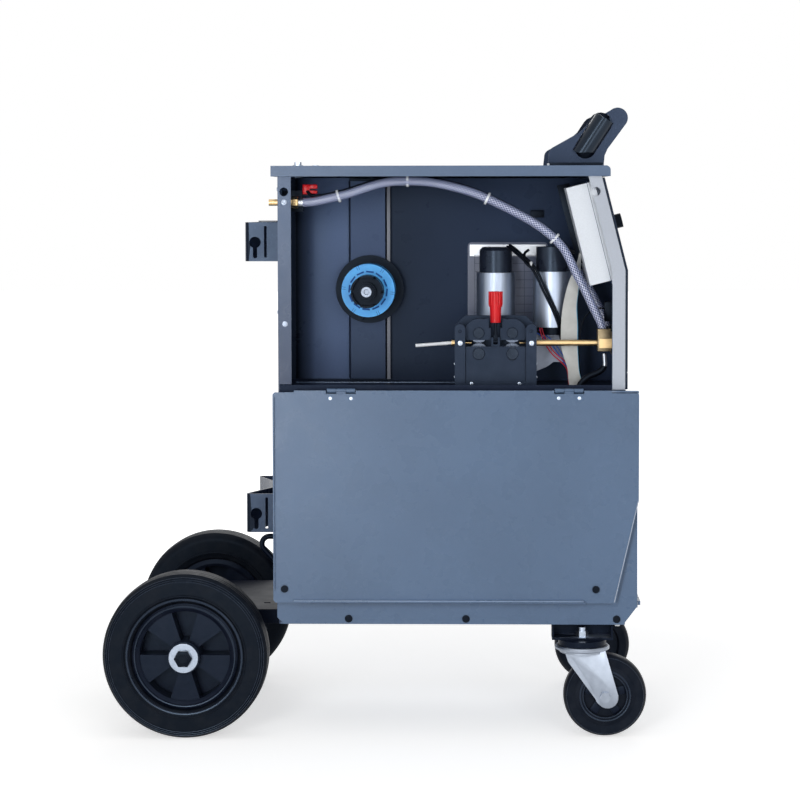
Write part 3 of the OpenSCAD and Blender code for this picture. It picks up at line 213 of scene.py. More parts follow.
cool = (0.55, 0.74, 1.0)
finish = {
    "panel": powderCoat("panelPaint", (86, 108, 137), 0.28, shine=0.3),
    "roof": powderCoat("roofPaint", (84, 104, 132), 0.34, dust=0.04, shine=0.3),
    # the panel's blue-grey darkened as painted shade inside the bay, with more painted shade at low X
    "divider": powderCoat("shadedInnerPaint", (40, 51, 74), 0.3, shine=0.12, glint=cool,
                          paintedShade=((25, 32, 48), 0, 0.03, 0.2)),
    # painted highlight on the left of the inner wall, with the rear post's painted shadow along its left edge
    "bay": powderCoat("bayHighlightAndShadowPaint", (84, 100, 132), 0.3, shine=0.18, glint=cool,
                      paintedShade=((12, 16, 26), 0, -0.128, -0.1)),
    # the compartment floor darkened as painted shade inside the bay, with a little real dust
    "shadedFloor": powderCoat("shadedFloorPaint", (22, 28, 46), 0.4, dust=0.03, shine=0.12, glint=cool),
    "frame": powderCoat("framePaint", (180, 187, 199), 0.4, drift=0.03, shine=0.3),
    "box": powderCoat("boxPaint", (224, 230, 238), 0.4, peel=0.05, drift=0.02, shine=0.3),
    "black": powderCoat("blackPaint", (50, 60, 82), 0.26, peel=0.2, shine=0.3, glint=cool),
    # near black paint; on the handle strips and holder pans it is painted shade, on the bracket ends a painted dark
    # reflection
    "dark": powderCoat("darkPaint", (12, 17, 30), 0.36, peel=0.2, shine=0.12, glint=cool),
    "deck": powderCoat("deckPaint", (15, 19, 31), 0.46, peel=0.2, shine=0.07, glint=cool),
    # painted highlight on the inner wall's channel, fading to painted shade towards the bottom
    "channel": powderCoat("channelPaint", (64, 77, 106), 0.3, shine=0.16, glint=cool,
                          paintedShade=((42, 52, 74), 2, 0.54, 0.72)),
    "roll": plated("knurledSteel", (92, 100, 114), 0.36, (500, 60, 500)),
    "plastic": moulded("blackPlastic", (7, 10, 19), 0.36, shine=0.12, glint=cool),
    "cap": moulded("capPlastic", (27, 32, 44), 0.26, shine=0.34, glint=cool),
    "feeder": moulded("feederPlastic", (34, 42, 58), 0.34, grain=0.2, shine=0.18, glint=cool),
    "fascia": moulded("fasciaPlastic", (26, 32, 46), 0.45, grain=0.3, shine=0.16, glint=cool),
    "zinc": plated("zincPlate", (178, 188, 203), 0.34, (60, 60, 400)),
    "fork": plated("forkZinc", (158, 166, 178), 0.34, (90, 90, 12), drift=0.16),
    "washer": plated("washerSteel", (146, 155, 168), 0.34, (300, 40, 300)),
    "screw": plated("screwSteel", (122, 130, 143), 0.36, (300, 300, 300)),
    "gloss": moulded("glossPlastic", (7, 10, 19), 0.2, grain=0.05, shine=0.4, glint=cool),
    "bead": moulded("beadRubber", (16, 21, 34), 0.26, grain=0.05, shine=0.5, glint=cool),
    # painted highlight along the folded edges of the door foot and the bay floor
    "lip": powderCoat("lipHighlightPaint", (136, 156, 184), 0.3, shine=0.3),
    # dark joint lines, and painted shade under the door's lip
    "seam": powderCoat("seamAndShadePaint", (58, 72, 96), 0.4, shine=0.1),
    # the rear post's paint, a little darker as painted shade and darker still towards the bottom
    "post": powderCoat("postShadePaint", (80, 99, 128), 0.3, shine=0.25, paintedShade=((48, 62, 88), 2, 0.52, 0.8)),
    "slot": moulded("slotPlastic", (24, 74, 146), 0.4, grain=0.05, shine=0.1),
    "motor": plated("motorSteel", (158, 168, 184), 0.42, (900, 900, 14), drift=0.06),
    "cast": plated("castAlloy", (150, 158, 174), 0.5, (420, 420, 420), drift=0.2, metallic=0.6),
    "brass": plated("turnedBrass", (206, 178, 132), 0.34, (60, 700, 700), drift=0.12),
    "blue": moulded("bluePlastic", (78, 168, 242), 0.3, grain=0.1, shine=0.25),
    "red": moulded("redPlastic", (200, 12, 24), 0.28, grain=0.08, coat=0.1, shine=0.2),
    "tyre": moulded("tyreRubber", (6, 9, 17), 0.46, grain=0.3, scale=500.0, wear=0.05, shine=0.12, glint=cool),
    "caster": moulded("casterRubber", (12, 15, 24), 0.42, grain=0.2, scale=600.0, wear=0.06, shine=0.12, glint=cool),
    "rim": moulded("rimPlastic", (11, 16, 30), 0.32, grain=0.2, shine=0.16, glint=cool),
    "hose": braidedHose("hoseBraid", (48, 58, 108), (206, 216, 244)),
    "ribbon": ribbonSkin("ribbonPlastic", (208, 210, 208), (70, 150, 190)),
    "cable": moulded("cableRubber", (7, 9, 17), 0.4, grain=0.2, shine=0.14, glint=cool),
    "white": moulded("whitePlastic", (226, 230, 236), 0.35, grain=0.1, shine=0.3),
    "core": plated("coreSteel", (96, 102, 112), 0.5, (40, 2200, 40), drift=0.25),
    "braid": plated("shieldBraid", (190, 196, 206), 0.35, (500, 500, 500), drift=0.3),
    "plate": powderCoat("plateMetal", (96, 104, 125), 0.35, peel=0.03, drift=0.03, shine=0.25),
    # the polarity plate's grey, also used as the painted highlight on the inner wall's fold
    "edge": powderCoat("greyPlateAndHighlightPaint", (116, 120, 130), 0.35, shine=0.25),
    # a darker copy of the brass: painted shade on the torch socket block
    "olive": plated("shadedBrassMetal", (128, 115, 92), 0.42, (300, 300, 300), drift=0.3),
    "rule": moulded("plateInk", (58, 66, 84), 0.5, shine=0.2),
    "redWire": moulded("redWirePlastic", (178, 36, 58), 0.35, grain=0.05, shine=0.3),
    "blueWire": moulded("blueWirePlastic", (44, 82, 168), 0.35, grain=0.05, shine=0.3),
    "alloy": plated("extrudedAlloy", (196, 200, 206), 0.35, (30, 30, 500)),
}
print("materials made:", len(finish))


# making pieces
def millimetres(points):
    return [tuple(c / 1000 for c in p) for p in points]


def arc(x, z, radius, angles):
    # points round a centre, the angles in degrees
    return [(x + radius * math.cos(math.radians(a)), z + radius * math.sin(math.radians(a))) for a in angles]


def added(name, mesh):
    piece = bpy.data.objects.new(name, mesh)
    scene.collection.objects.link(piece)
    return piece


def formed(name, shape):
    # the bmesh as an object of its own
    mesh = bpy.data.meshes.new(name)
    shape.to_mesh(mesh)
    shape.free()
    return added(name, mesh)


def discard(*patterns):
    for pattern in patterns:
        bpy.data.objects.remove(pattern)


def settle(piece):
    # turns the live result of the modifiers into the piece's own mesh
    view = bpy.context.evaluated_depsgraph_get()
    view.update()
    result = bpy.data.meshes.new_from_object(piece.evaluated_get(view), preserve_all_data_layers=True, depsgraph=view)
    piece.modifiers.clear()
    old = piece.data
    piece.data = result
    if old.users == 0 and isinstance(old, bpy.types.Mesh):
        bpy.data.meshes.remove(old)


def smooth(piece, angle=32):
    piece.data.shade_smooth()
    piece.data.set_sharp_from_angle(angle=math.radians(angle))


def eased(piece, width, angle=30):
    # rounds each edge that turns by more than the angle
    bevel = piece.modifiers.new("eased", "BEVEL")
    bevel.width, bevel.segments, bevel.limit_method = width, 2, "ANGLE"
    bevel.angle_limit = math.radians(angle)
    settle(piece)


def prism(name, near, back):
    # a closed solid between two outlines of as many points, in millimetres
    shape = bmesh.new()
    near, back = ([shape.verts.new(p) for p in millimetres(outline)] for outline in (near, back))
    shape.faces.new(near)
    shape.faces.new(back[::-1])
    for i in range(len(near)):
        j = (i + 1) % len(near)
        shape.faces.new((near[i], back[i], back[j], near[j]))
    bmesh.ops.recalc_face_normals(shape, faces=shape.faces)
    return formed(name, shape)


def slab(name, outline, y0, y1):
    # a prism from an outline in X and Z
    return prism(name, *([(x, y, z) for x, z in outline] for y in (y0, y1)))


def cutAway(piece, tool):
    cut = piece.modifiers.new("cut", "BOOLEAN")
    cut.object, cut.operation, cut.solver = tool, "DIFFERENCE", "EXACT"
    settle(piece)
    discard(tool)


# CAD solids with eased edges
corner = [(396.5, 198), (377, 172.5), (377, 160), (402, 160), (402, 198)]
ledge = [(377, 523.6), (396, 494), (402, 494), (402, 530), (377, 530)]
underBlock = [(339, 560), (358, 560), (358, 579), (339, 579)]
# outlines in X and Z, each with the two places in Y between which it is cut
carvings = {
    "front_lower_panel": ((ledge, -200, 200), (corner, -200, 200)),
    "far_side_panel": ((ledge, 190, 200), (corner, 190, 200)),
    "lower_side_panel": ((ledge, -200, -190), (corner, -200, -190)),
    "base_tray": ((corner, -200, 200),),
    "torch_socket": ((underBlock, -165, -115),),
}
usualEase, softAngle = 0.0005, 32


def dressed(nodeName, paint):
    # a copy of the solid, joined up, with its edges eased; it stands in for the solid
    source = nodes[nodeName]
    mesh = source.data.copy()
    mesh.name = nodeName + "Skin"
    shape = bmesh.new()
    shape.from_mesh(mesh)
    bmesh.ops.remove_doubles(shape, verts=shape.verts, dist=2e-6)
    bmesh.ops.dissolve_degenerate(shape, edges=shape.edges, dist=1e-6)
    bmesh.ops.dissolve_limit(shape, angle_limit=math.radians(0.4), verts=shape.verts, edges=shape.edges)
    shape.to_mesh(mesh)
    shape.free()
    piece = added(nodeName + "Skin", mesh)
    mesh.materials.clear()
    mesh.materials.append(finish[paint])
    for outline, y0, y1 in carvings.get(nodeName, ()):
        cutAway(piece, slab("carver", outline, y0, y1))
    ease = eases.get(nodeName, usualEase)
    if ease:
        eased(piece, ease, softAngle)
    smooth(piece, softAngle)
    even = piece.modifiers.new("flatFaces", "WEIGHTED_NORMAL")
    even.keep_sharp = True
    settle(piece)
    repaint(piece, areas.get(nodeName, ()))
    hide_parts(nodeName)
    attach(piece, source["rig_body"])


def repaint(piece, boxes):
    # gives the faces inside each box, corners in millimetres, another paint
    for paint, low, high in boxes:
        piece.data.materials.append(finish[paint])
        slot = len(piece.data.materials) - 1
        for face in piece.data.polygons:
            if all(a / 1000 <= c <= b / 1000 for a, c, b in zip(low, face.center, high)):
                face.material_index = slot


areas = {
    "gas_inlet_valve": [("plastic", (-140, -139, 790), (-111, -109, 824)),
                        ("plastic", (-112, -135, 814), (-91, -127, 829))],
    "feed_motor_rear": [("plastic", (140, -121, 540), (226, -29, 589.9)), ("cap", (140, -121, 696), (226, -29, 740)),
                        ("plastic", (171, -45, 643), (196, -29, 665))],
    "feed_motor_front": [("cast", (233, -81, 540), (291, -29, 618)), ("plastic", (246, -103, 600.2), (296, -53, 611.9)),
                         ("cap", (240, -110, 697.9), (303, -29, 740)), ("plastic", (255, -59, 593), (288, -29, 625))],
    "tension_lever": [("plastic", (170, -170, 580), (195, -140, 622.9))],
    "wire_inlet_tube": [("white", (50, -150, 580), (115.4, -130, 600))],
    "hub_axle": [("plastic", (-28, -154.6, 654), (1, -151.1, 684)), ("screw", (-23, -159, 659), (-4, -154.65, 679))],
    "rear_axle": [("washer", (-302, -246, 107), (-267, -236, 143)), ("washer", (-302, 236, 107), (-267, 246, 143))],
    # the rear post gets the painted shade
    "rear_panel": [("post", (-150, -196, 205), (-128, -190, 846))],
    "feed_roll_rear": [("feeder", (145, -170, 560), (170, -150, 592))],
    "feed_roll_front": [("feeder", (196, -170, 560), (221, -150, 592))],
    # the bent rear ends of the bottle brackets painted near black: a painted dark reflection
    "bottle_bracket_upper": [("dark", (-200, -111, 700), (-192, 111, 790))],
    "bottle_bracket_lower": [("dark", (-200, -111, 280), (-192, 111, 370))],
    # the channel of the inner wall gets the painted highlight
    "divider_wall": [("channel", (-45, -43, 527), (13, -41.5, 845))],
    "cabinet_fasteners": [("plastic", (-150, -201, 165), (380, -196, 190))],
    "caster_brackets": [("zinc", (300, -203, 149.9), (326, -177, 162)), ("zinc", (300, 177, 149.9), (326, 203, 162))],
}
skins = {
    "panel": ["base_tray", "rear_panel", "front_lower_panel", "far_side_panel", "lower_side_panel", "side_door",
              "door_hinges"],
    "deck": ["bottle_platform"], "roof": ["roof_cover"], "divider": ["divider_wall"], "shadedFloor": ["compartment_floor"],
    "frame": ["front_frame"], "box": ["control_box"],
    "black": ["handle_frame", "bottle_bracket_upper", "bottle_bracket_lower"],
    "dark": ["caster_brackets", "cable_loop"], "fascia": ["front_fascia"],
    "feeder": ["feeder_body", "feeder_cover", "pressure_arm_rear", "pressure_arm_front"],
    "plastic": ["mains_gland", "fan_frame", "fan_rotor", "latch_rear", "latch_front", "spool_hub", "knob_near",
                "knob_far"],
    "zinc": ["rear_axle", "hub_axle", "cabinet_fasteners"], "fork": ["caster_fork_near", "caster_fork_far"],
    "gloss": ["torch_holders"],
    "roll": ["pressure_roll_rear", "pressure_roll_front", "feed_roll_rear", "feed_roll_front"],
    "motor": ["feed_motor_rear", "feed_motor_front"], "brass": ["gas_inlet_valve", "wire_inlet_tube", "torch_socket"],
    "blue": ["hub_drive_ring"], "red": ["tension_lever"], "core": ["transformer", "welding_choke"],
    "alloy": ["rectifier_stack"], "tyre": ["rear_tyre_near", "rear_tyre_far"],
    "caster": ["caster_wheel_near", "caster_wheel_far"], "rim": ["rear_rim_near", "rear_rim_far"],
}
eases = {
    "rear_tyre_near": 0, "rear_tyre_far": 0, "caster_wheel_near": 0.0004, "caster_wheel_far": 0.0004,
    "roof_cover": 0.0008, "divider_wall": 0.0011, "side_door": 0.0006, "feeder_body": 0.0004, "handle_frame": 0.0007,
    "rear_panel": 0.0003, "far_side_panel": 0.0003, "front_lower_panel": 0.0003,
}


# Geometry Nodes: tubes along a route, heads at spots, rings
def startTree(name, **sockets):
    tree = bpy.data.node_groups.new(name, "GeometryNodeTree")
    for label, kind in dict(Geometry="Geometry", **sockets, Material="Material").items():
        tree.interface.new_socket(label, in_out="INPUT", socket_type="NodeSocket" + kind)
    tree.interface.new_socket("Geometry", in_out="OUTPUT", socket_type="NodeSocketGeometry")
    return tree, tree.nodes.new("NodeGroupInput").outputs


def chain(tree, geometry, kind, values=None, out=0, **settings):
    # adds one node whose first input is the geometry
    node = tree.nodes.new("GeometryNode" + kind)
    for key, value in settings.items():
        setattr(node, key, value)
    if geometry is not None:
        tree.links.new(geometry, node.inputs[0])
    return feed(node, values or {}).outputs[out]


def endTree(tree, geometry, material):
    geometry = chain(tree, geometry, "RealizeInstances")
    geometry = chain(tree, geometry, "SetMaterial", {"Material": material})
    tree.links.new(geometry, tree.nodes.new("NodeGroupOutput").inputs[0])
    return tree


def named(tree, label, kind="FLOAT"):
    node = tree.nodes.new("GeometryNodeInputNamedAttribute")
    node.data_type = kind
    node.inputs["Name"].default_value = label
    return next(o for o in node.outputs if o.enabled)


def stored(tree, geometry, label, value, kind="FLOAT", domain="POINT"):
    return chain(tree, geometry, "StoreNamedAttribute", {"Name": label, "Value": value}, data_type=kind, domain=domain)


def tubeTree():
    # a round tube along a line of points, with a UV map: around the tube, and along it in metres
    tree, given = startTree("tubeAlongRoute", Radius="Float", Sides="Int", Step="Float")
    length, factor = (chain(tree, None, "SplineParameter", out=name) for name in ("Length", "Factor"))
    line = chain(tree, given["Geometry"], "MeshToCurve")
    line = chain(tree, line, "CurveSplineType", spline_type="CATMULL_ROM")
    line = chain(tree, line, "ResampleCurve", {"Length": given["Step"]}, mode="LENGTH")
    line = stored(tree, line, "along", length)
    rim = {"Resolution": given["Sides"], "Radius": given["Radius"], "Sweep Angle": 2 * math.pi}
    rim = stored(tree, chain(tree, None, "CurveArc", rim, mode="RADIUS"), "around", factor)
    skin = chain(tree, line, "CurveToMesh", {"Profile Curve": rim})
    pair = feed(tree.nodes.new("ShaderNodeCombineXYZ"), {0: named(tree, "around"), 1: named(tree, "along")})
    skin = stored(tree, skin, "route", pair.outputs[0], "FLOAT2", "CORNER")
    skin = chain(tree, skin, "MergeByDistance", {"Distance": 1e-6})
    return endTree(tree, skin, given["Material"])


def instanceOf(tree, item):
    return chain(tree, None, "ObjectInfo", {"Object": item, "As Instance": True}, out="Geometry")


def spotTree():
    # one head on each point, standing along the point's facing
    tree, given = startTree("headsAtSpots", Head="Object", Size="Float")
    turn = feed(tree.nodes.new("FunctionNodeAlignRotationToVector"), {"Vector": named(tree, "facing", "FLOAT_VECTOR")})
    turn.axis = "Z"
    values = {"Instance": instanceOf(tree, given["Head"]), "Rotation": turn.outputs[0], "Scale": given["Size"]}
    spots = chain(tree, given["Geometry"], "InstanceOnPoints", values)
    return endTree(tree, spots, given["Material"])


def ringTree():
    # copies of an item round the Y axis through a centre
    tree, given = startTree("ringOfItems", Item="Object", Count="Int", Centre="Vector", Start="Float")
    share = maths(tree, "DIVIDE", chain(tree, None, "InputIndex"), given["Count"])
    angle = maths(tree, "ADD", maths(tree, "MULTIPLY", share, 2 * math.pi), given["Start"])
    turn = feed(tree.nodes.new("ShaderNodeCombineXYZ"), {1: angle}).outputs[0]
    ring = chain(tree, None, "Points", {"Count": given["Count"]})
    values = {"Instance": instanceOf(tree, given["Item"]), "Rotation": turn}
    ring = chain(tree, chain(tree, ring, "InstanceOnPoints", values), "RealizeInstances")
    ring = chain(tree, ring, "Transform", {"Translation": given["Centre"]})
    return endTree(tree, ring, given["Material"])


trees = {"tube": tubeTree(), "spots": spotTree(), "ring": ringTree()}


def fromTree(name, base, kind, values, body, paint):
    # runs a tree on a base mesh and keeps the result as a plain mesh on the body
    piece = added(name, base)
    live = piece.modifiers.new(kind, "NODES")
    live.node_group = trees[kind]
    sockets = {s.name: s.identifier for s in trees[kind].interface.items_tree if s.in_out == "INPUT"}
    for label, value in dict(values, Material=finish[paint]).items():
        live[sockets[label]] = value
    settle(piece)
    for label in ("along", "around", "facing"):
        if label in piece.data.attributes:
            piece.data.attributes.remove(piece.data.attributes[label])
    smooth(piece)
    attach(piece, body)
    return piece


def tube(name, route, radius, paint, sides=12, step=0.004, stands=None):
    # route and radius in millimetres; a tube that stands for a CAD node names it
    base = bpy.data.meshes.new(name)
    base.from_pydata(millimetres(route), [(i, i + 1) for i in range(len(route) - 1)], [])
    piece = fromTree(name, base, "tube", {"Radius": radius / 1000, "Sides": sides + 1, "Step": step}, "root", paint)
    shape = bmesh.new()
    shape.from_mesh(piece.data)
    bmesh.ops.holes_fill(shape, edges=[e for e in shape.edges if e.is_boundary], sides=0)
    bmesh.ops.recalc_face_normals(shape, faces=shape.faces)
    shape.to_mesh(piece.data)
    shape.free()
    smooth(piece, 50)
    if stands:
        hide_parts(stands)


def turned(name, profile, sides=32, cut=None):
    # a solid turned about Z from (radius, height) pairs in millimetres, with a socket cut in its top
    shape = bmesh.new()
    rings = []
    for r, z in profile:
        angles = [2 * math.pi * i / sides for i in range(sides)] if r else [0]
        rings.append([shape.verts.new((r / 1000 * math.cos(a), r / 1000 * math.sin(a), z / 1000)) for a in angles])
    for low, high in zip(rings, rings[1:]):
        for i in range(sides):
            a, b = low[i % len(low)], low[(i + 1) % len(low)]
            c, d = high[(i + 1) % len(high)], high[i % len(high)]
            corners = list(dict.fromkeys([a, b, c, d]))
            if len(corners) > 2:
                shape.faces.new(corners)
    bmesh.ops.recalc_face_normals(shape, faces=shape.faces)
    piece = formed(name, shape)
    if cut:
        cutAway(piece, cutter(*cut))
    smooth(piece, 35)
    return piece


def cutter(kind, width, floor, top, turn=0.0):
    # the tool for a hexagon socket, a slot or a cross, in millimetres: an upright prism
    long, thin = width / 2, width / 13
    outline = {
        "hex": arc(0, 0, long, range(0, 360, 60)),
        "slot": [(-long, -thin), (long, -thin), (long, thin), (-long, thin)],
        "cross": [(-long, -thin), (-thin, -thin), (-thin, -long), (thin, -long), (thin, -thin), (long, -thin),
                  (long, thin), (thin, thin), (thin, long), (-thin, long), (-thin, thin), (-long, thin)],
    }[kind]
    tool = prism("cutter", *([(x, y, z) for x, y in outline] for z in (floor, top)))
    tool.data.transform(Matrix.Rotation(math.radians(turn), 4, "Z"))
    return tool


def hoop(name, radius, thick):
    # a round ring, its tube of the given half thickness
    return turned(name, arc(radius, 0, thick, range(0, 361, 40)), sides=96)


toFront, toRear, toNear, toFar, upward = (1, 0, 0), (-1, 0, 0), (0, -1, 0), (0, 1, 0), (0, 0, 1)


def heads(name, head, spots, paint, body="root", size=1.0, facing=toNear):
    # copies of a head, its Z axis along the facing; spots in millimetres
    base = bpy.data.meshes.new(name)
    base.from_pydata(millimetres(spots), [], [])
    way = base.attributes.new("facing", "FLOAT_VECTOR", "POINT")
    for entry in way.data:
        entry.vector = facing
    fromTree(name, base, "spots", {"Head": head, "Size": size}, body, paint)


def ring(name, item, count, centre, paint, body, start):
    base = bpy.data.meshes.new(name)
    base.from_pydata([(0, 0, 0)], [], [])
    values = {"Item": item, "Count": count, "Start": math.radians(start), "Centre": [c / 1000 for c in centre]}
    fromTree(name, base, "ring", values, body, paint)


def block(name, low, high, ease=0.0, paint=None, body="root"):
    # a block with eased edges, corners in millimetres; without paint it is only a pattern
    shape = bmesh.new()
    made = bmesh.ops.create_cube(shape, size=1)
    bmesh.ops.scale(shape, verts=made["verts"], vec=[(b - a) / 1000 for a, b in zip(low, high)])
    bmesh.ops.translate(shape, verts=made["verts"], vec=[(a + b) / 2000 for a, b in zip(low, high)])
    if ease:
        bmesh.ops.bevel(shape, geom=shape.edges, offset=ease / 1000, segments=2, profile=0.5, affect="EDGES")
    piece = formed(name, shape)
    smooth(piece, 40)
    if paint:
        piece.data.materials.append(finish[paint])
        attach(piece, body)
    return piece


def plate(name, outline, y, depth, paint, body="root", ease=0.3):
    # a flat plate in the X and Z plane, its near face at y, in millimetres
    piece = slab(name, outline, y, y + depth)
    piece.data.materials.append(finish[paint])
    if ease:
        eased(piece, ease / 1000)
    smooth(piece, 40)
    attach(piece, body)


# hoses, cables and wires
radii = {"gas": 6.6, "second": 6.0, "signal": 2.4, "lead": 2.1, "wire": 1.0, "switch": 1.3, "braid": 3.4, "power": 4.7,
         "tie": 2.2}
gasRoute = [
    (-113, -150, 805), (-104, -150, 805), (-91, -150, 806.5), (-74, -150, 810), (-57, -150, 814), (-39, -150, 818.5),
    (-20, -150, 825), (1, -150, 831.7), (24, -150, 836), (50, -150, 837), (76, -150, 836), (99, -150, 832.5),
    (119, -150, 828), (139, -150, 822.5), (161, -149, 814.5), (184, -148, 804), (209, -147, 791.5), (233.5, -146, 778),
    (255, -145, 764), (272.5, -144, 749), (285.5, -143, 734.5), (295, -142, 718), (303.5, -141, 700), (313, -141, 682),
    (323, -141, 662), (332, -141, 643), (340, -141, 627), (344, -141, 618), (345, -141, 608)]
secondRoute = [(296, -66, 718), (305, -70, 706), (315, -72, 692), (325, -73, 678), (334, -73, 662), (342, -73, 646),
               (348, -73, 635), (353, -73, 624), (356, -73, 612)]
signalStart, signalEnd = [(-104, -138, 822), (-96, -141, 815)], [(292, -128, 733), (303, -112, 728)]
leadRoute = [(203, -74, 737), (209, -82, 733.5), (217, -90, 726.8), (231.2, -100, 714.5), (241, -108, 703.7),
             (248.2, -111.5, 691.3), (259, -112, 668), (270, -112, 646), (279, -110, 625), (284, -104, 606),
             (286, -96, 592)]
frontLeadRoute = [(234, -86, 731), (228, -94, 726), (227, -101, 716), (233, -107, 708), (242, -110, 702)]
redRoute = [(250, -97, 618), (253, -99, 602), (259.4, -101, 586.8), (270, -102, 571), (282.7, -103, 560),
            (292, -104, 549.6), (295, -104, 536), (296, -104, 524)]
blueRoute = [(247, -94, 603), (259.5, -97, 594), (272, -99, 582), (283, -100, 566), (292, -101, 552),
             (297, -101, 538), (298, -101, 524)]
switchRoute = [(353, -104, 640), (344, -106, 642), (330, -108, 638), (318, -110, 625), (313, -112, 606),
               (311, -112, 580), (312, -110, 550), (316, -104, 524)]
shieldRoute = [(348, -141, 574.5), (348.6, -141, 566), (349, -141, 558), (348, -141, 553)]
powerRoute = [(348, -141, 556), (346, -141, 551), (338, -141, 545.5), (327, -141, 541), (318, -141, 535),
              (312, -141, 528), (308, -141, 520)]
tieSpots = [((-56, -147, 814.5), (0.95, 0, 0.3)), ((49, -147, 838), (1, 0, 0)), ((170, -146, 810.5), (0.9, 0, -0.43)),
            ((272, -141, 749.5), (0.72, 0, -0.69))]


def beside(route, dx, dy, dz):
    return [(x + dx, y + dy, z + dz) for x, y, z in route]


def makeHoses():
    tube("gasHose", gasRoute, radii["gas"], "hose", 28, 0.003, "gas_hose")
    tube("waterHose", secondRoute, radii["second"], "hose", 24, 0.003)
    tube("signalCable", signalStart + beside(gasRoute[3:21], -2, 7, 6.5) + signalEnd, radii["signal"], "cable")
    tube("strapTie", [(237, -107.5, 713), (240, -104, 703), (245, -108.5, 697)], radii["tie"], "white", 10, 0.003)
    for i, side in enumerate((-1.9, 1.9)):
        tube("motorLead%d" % i, beside(leadRoute, side, -0.4 * side, side * 0.6), radii["lead"], "cable")
    tube("motorLeadFront", frontLeadRoute, radii["lead"], "cable")
    for i, shift in enumerate((0, 2.6)):
        tube("redWire%d" % i, beside(redRoute, shift, shift, shift * 1.4), radii["wire"], "redWire")
        tube("blueWire%d" % i, beside(blueRoute, shift, shift, shift * 1.8), radii["wire"], "blueWire")
    tube("switchLead", switchRoute, radii["switch"], "cable")
    tube("shieldBraid", shieldRoute, radii["braid"], "braid", 20, 0.002)
    tube("powerCable", powerRoute, radii["power"], "cable", 20, 0.003, "power_cable")
    print("hoses and wires made")


def makeTies():
    # a strap round hose and cable, with its square lock and cut tail
    joined = [turned("tieBand", [(9.6, -1.7), (9.6, 1.7), (8.7, 1.7), (8.7, -1.7), (9.6, -1.7)], sides=28),
              block("tieLock", (-1.7, 8.4, -1.9), (1.7, 11.6, 1.9), ease=0.5),
              block("tieTail", (-0.6, 11.4, -1.2), (0.6, 15.5, 1.2), ease=0.3)]
    shape = bmesh.new()
    for part in joined:
        shape.from_mesh(part.data)
    tie = formed("tie", shape)
    for i, (at, way) in enumerate(tieSpots):
        heads("hoseTie%d" % i, tie, [at], "white", facing=way)
    discard(tie, *joined)


# screws, rivets and pins
profiles = {
    # (radius, height) pairs, sides, socket
    "rivet": ([(0, 0), (2.6, 0), (2.6, 0.1), (2.1, 0.24), (1.0, 0.28), (0.9, 0.14), (0, 0.14)], 20, None),
    "button": ([(0, 0), (4.7, 0), (4.6, 1.2), (3.8, 2.5), (2.2, 3.1), (0, 3.2)], 28, ("hex", 3.4, 1.2, 5)),
    "small": ([(0, 0), (2.7, 0), (2.6, 0.8), (1.9, 1.7), (0, 2.0)], 20, ("cross", 3.4, 0.9, 4)),
    "pin": ([(0, 0), (7.6, 0), (8.2, 0.4), (8.2, 1.5), (7.7, 2.0), (0, 2.0)], 40, ("slot", 14.5, 1.1, 4, -35)),
    "nut": ([(0, 0), (5.2, 0), (5.2, 0.12), (4.3, 0.28), (2.6, 0.28), (2.4, 0.1), (0, 0.1)], 28, None),
}


# faces that heads sit on, in Y, and the last two in X
doorFace, feederFace, armFace, postFace, farFace = -210.7, -165, -149.3, -195, 197
rearFace, bracketFace = -144.5, -166.5
feederArms, pinHeight, bossHeight = {"rear": 157, "front": 208}, 606.4, 575.6


def makeFixings():
    head = {kind: turned(kind, *values) for kind, values in profiles.items()}
    small, pin = head["small"], head["pin"]
    rivetSpots = [(x, doorFace, z) for x, z in ((-65.3, 512), (-34.2, 512), (276.4, 512.6), (307.3, 512.6))]
    heads("doorRivets", head["rivet"], rivetSpots, "zinc", "door")
    heads("columnScrews", head["button"], [(x, feederFace, 592) for x in (128.9, 237.0)], "zinc")
    heads("coverScrews", small, [(146.2, -161, 530.5), (218.4, -161, 530.5)], "zinc", size=1.2)
    heads("pivotEnds", small, [(x, feederFace, 610) for x in (128.5, 236.5)], "feeder", size=0.9)
    heads("sideScrewsRear", small, [(120.5, -158, z) for z in (540, 560)], "zinc", size=0.8, facing=toRear)
    heads("sideScrewsFront", small, [(244.5, -158, z) for z in (540, 560)], "zinc", size=0.8, facing=toFront)
    for end, x in feederArms.items():
        heads(end + "RollPin", pin, [(x, armFace, pinHeight)], "cap", end + "_arm")
        roll = nodes["feed_roll_" + end]
        face = min((roll.matrix_world @ v.co).y for v in roll.data.vertices) * 1000
        heads("bossPin" + end, pin, [(x, face, bossHeight)], "cap", roll["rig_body"], size=1.1)
    heads("panelScrew", small, [(368.1, postFace, 180.5)], "white")
    heads("roofBolt", small, [(263, -128, 862)], "white", size=0.8)
    heads("postNuts", head["nut"], [(-134.7, postFace, 805.5), (-133.9, postFace, 622.7)], "screw", size=0.8)
    farSpots = [(x, farFace, z) for x in (-125, 130, 370) for z in (190, 505)]
    farSpots += [(x, farFace, 825) for x in (-125, 300)]
    heads("sideScrewsFar", small, farSpots, "zinc", size=1.3, facing=toFar)
    rearSpots = [(rearFace, y, z) for y in (-180, 180) for z in (200, 420, 640, 825)]
    heads("rearScrews", small, rearSpots, "zinc", size=1.3, facing=toRear)
    bracketSpots = [(bracketFace, y, z) for y in (-14, 14) for z in (325, 744.5)]
    heads("bracketScrews", small, bracketSpots, "zinc", size=1.6, facing=toRear)
    discard(*head.values())
    print("fixings made")


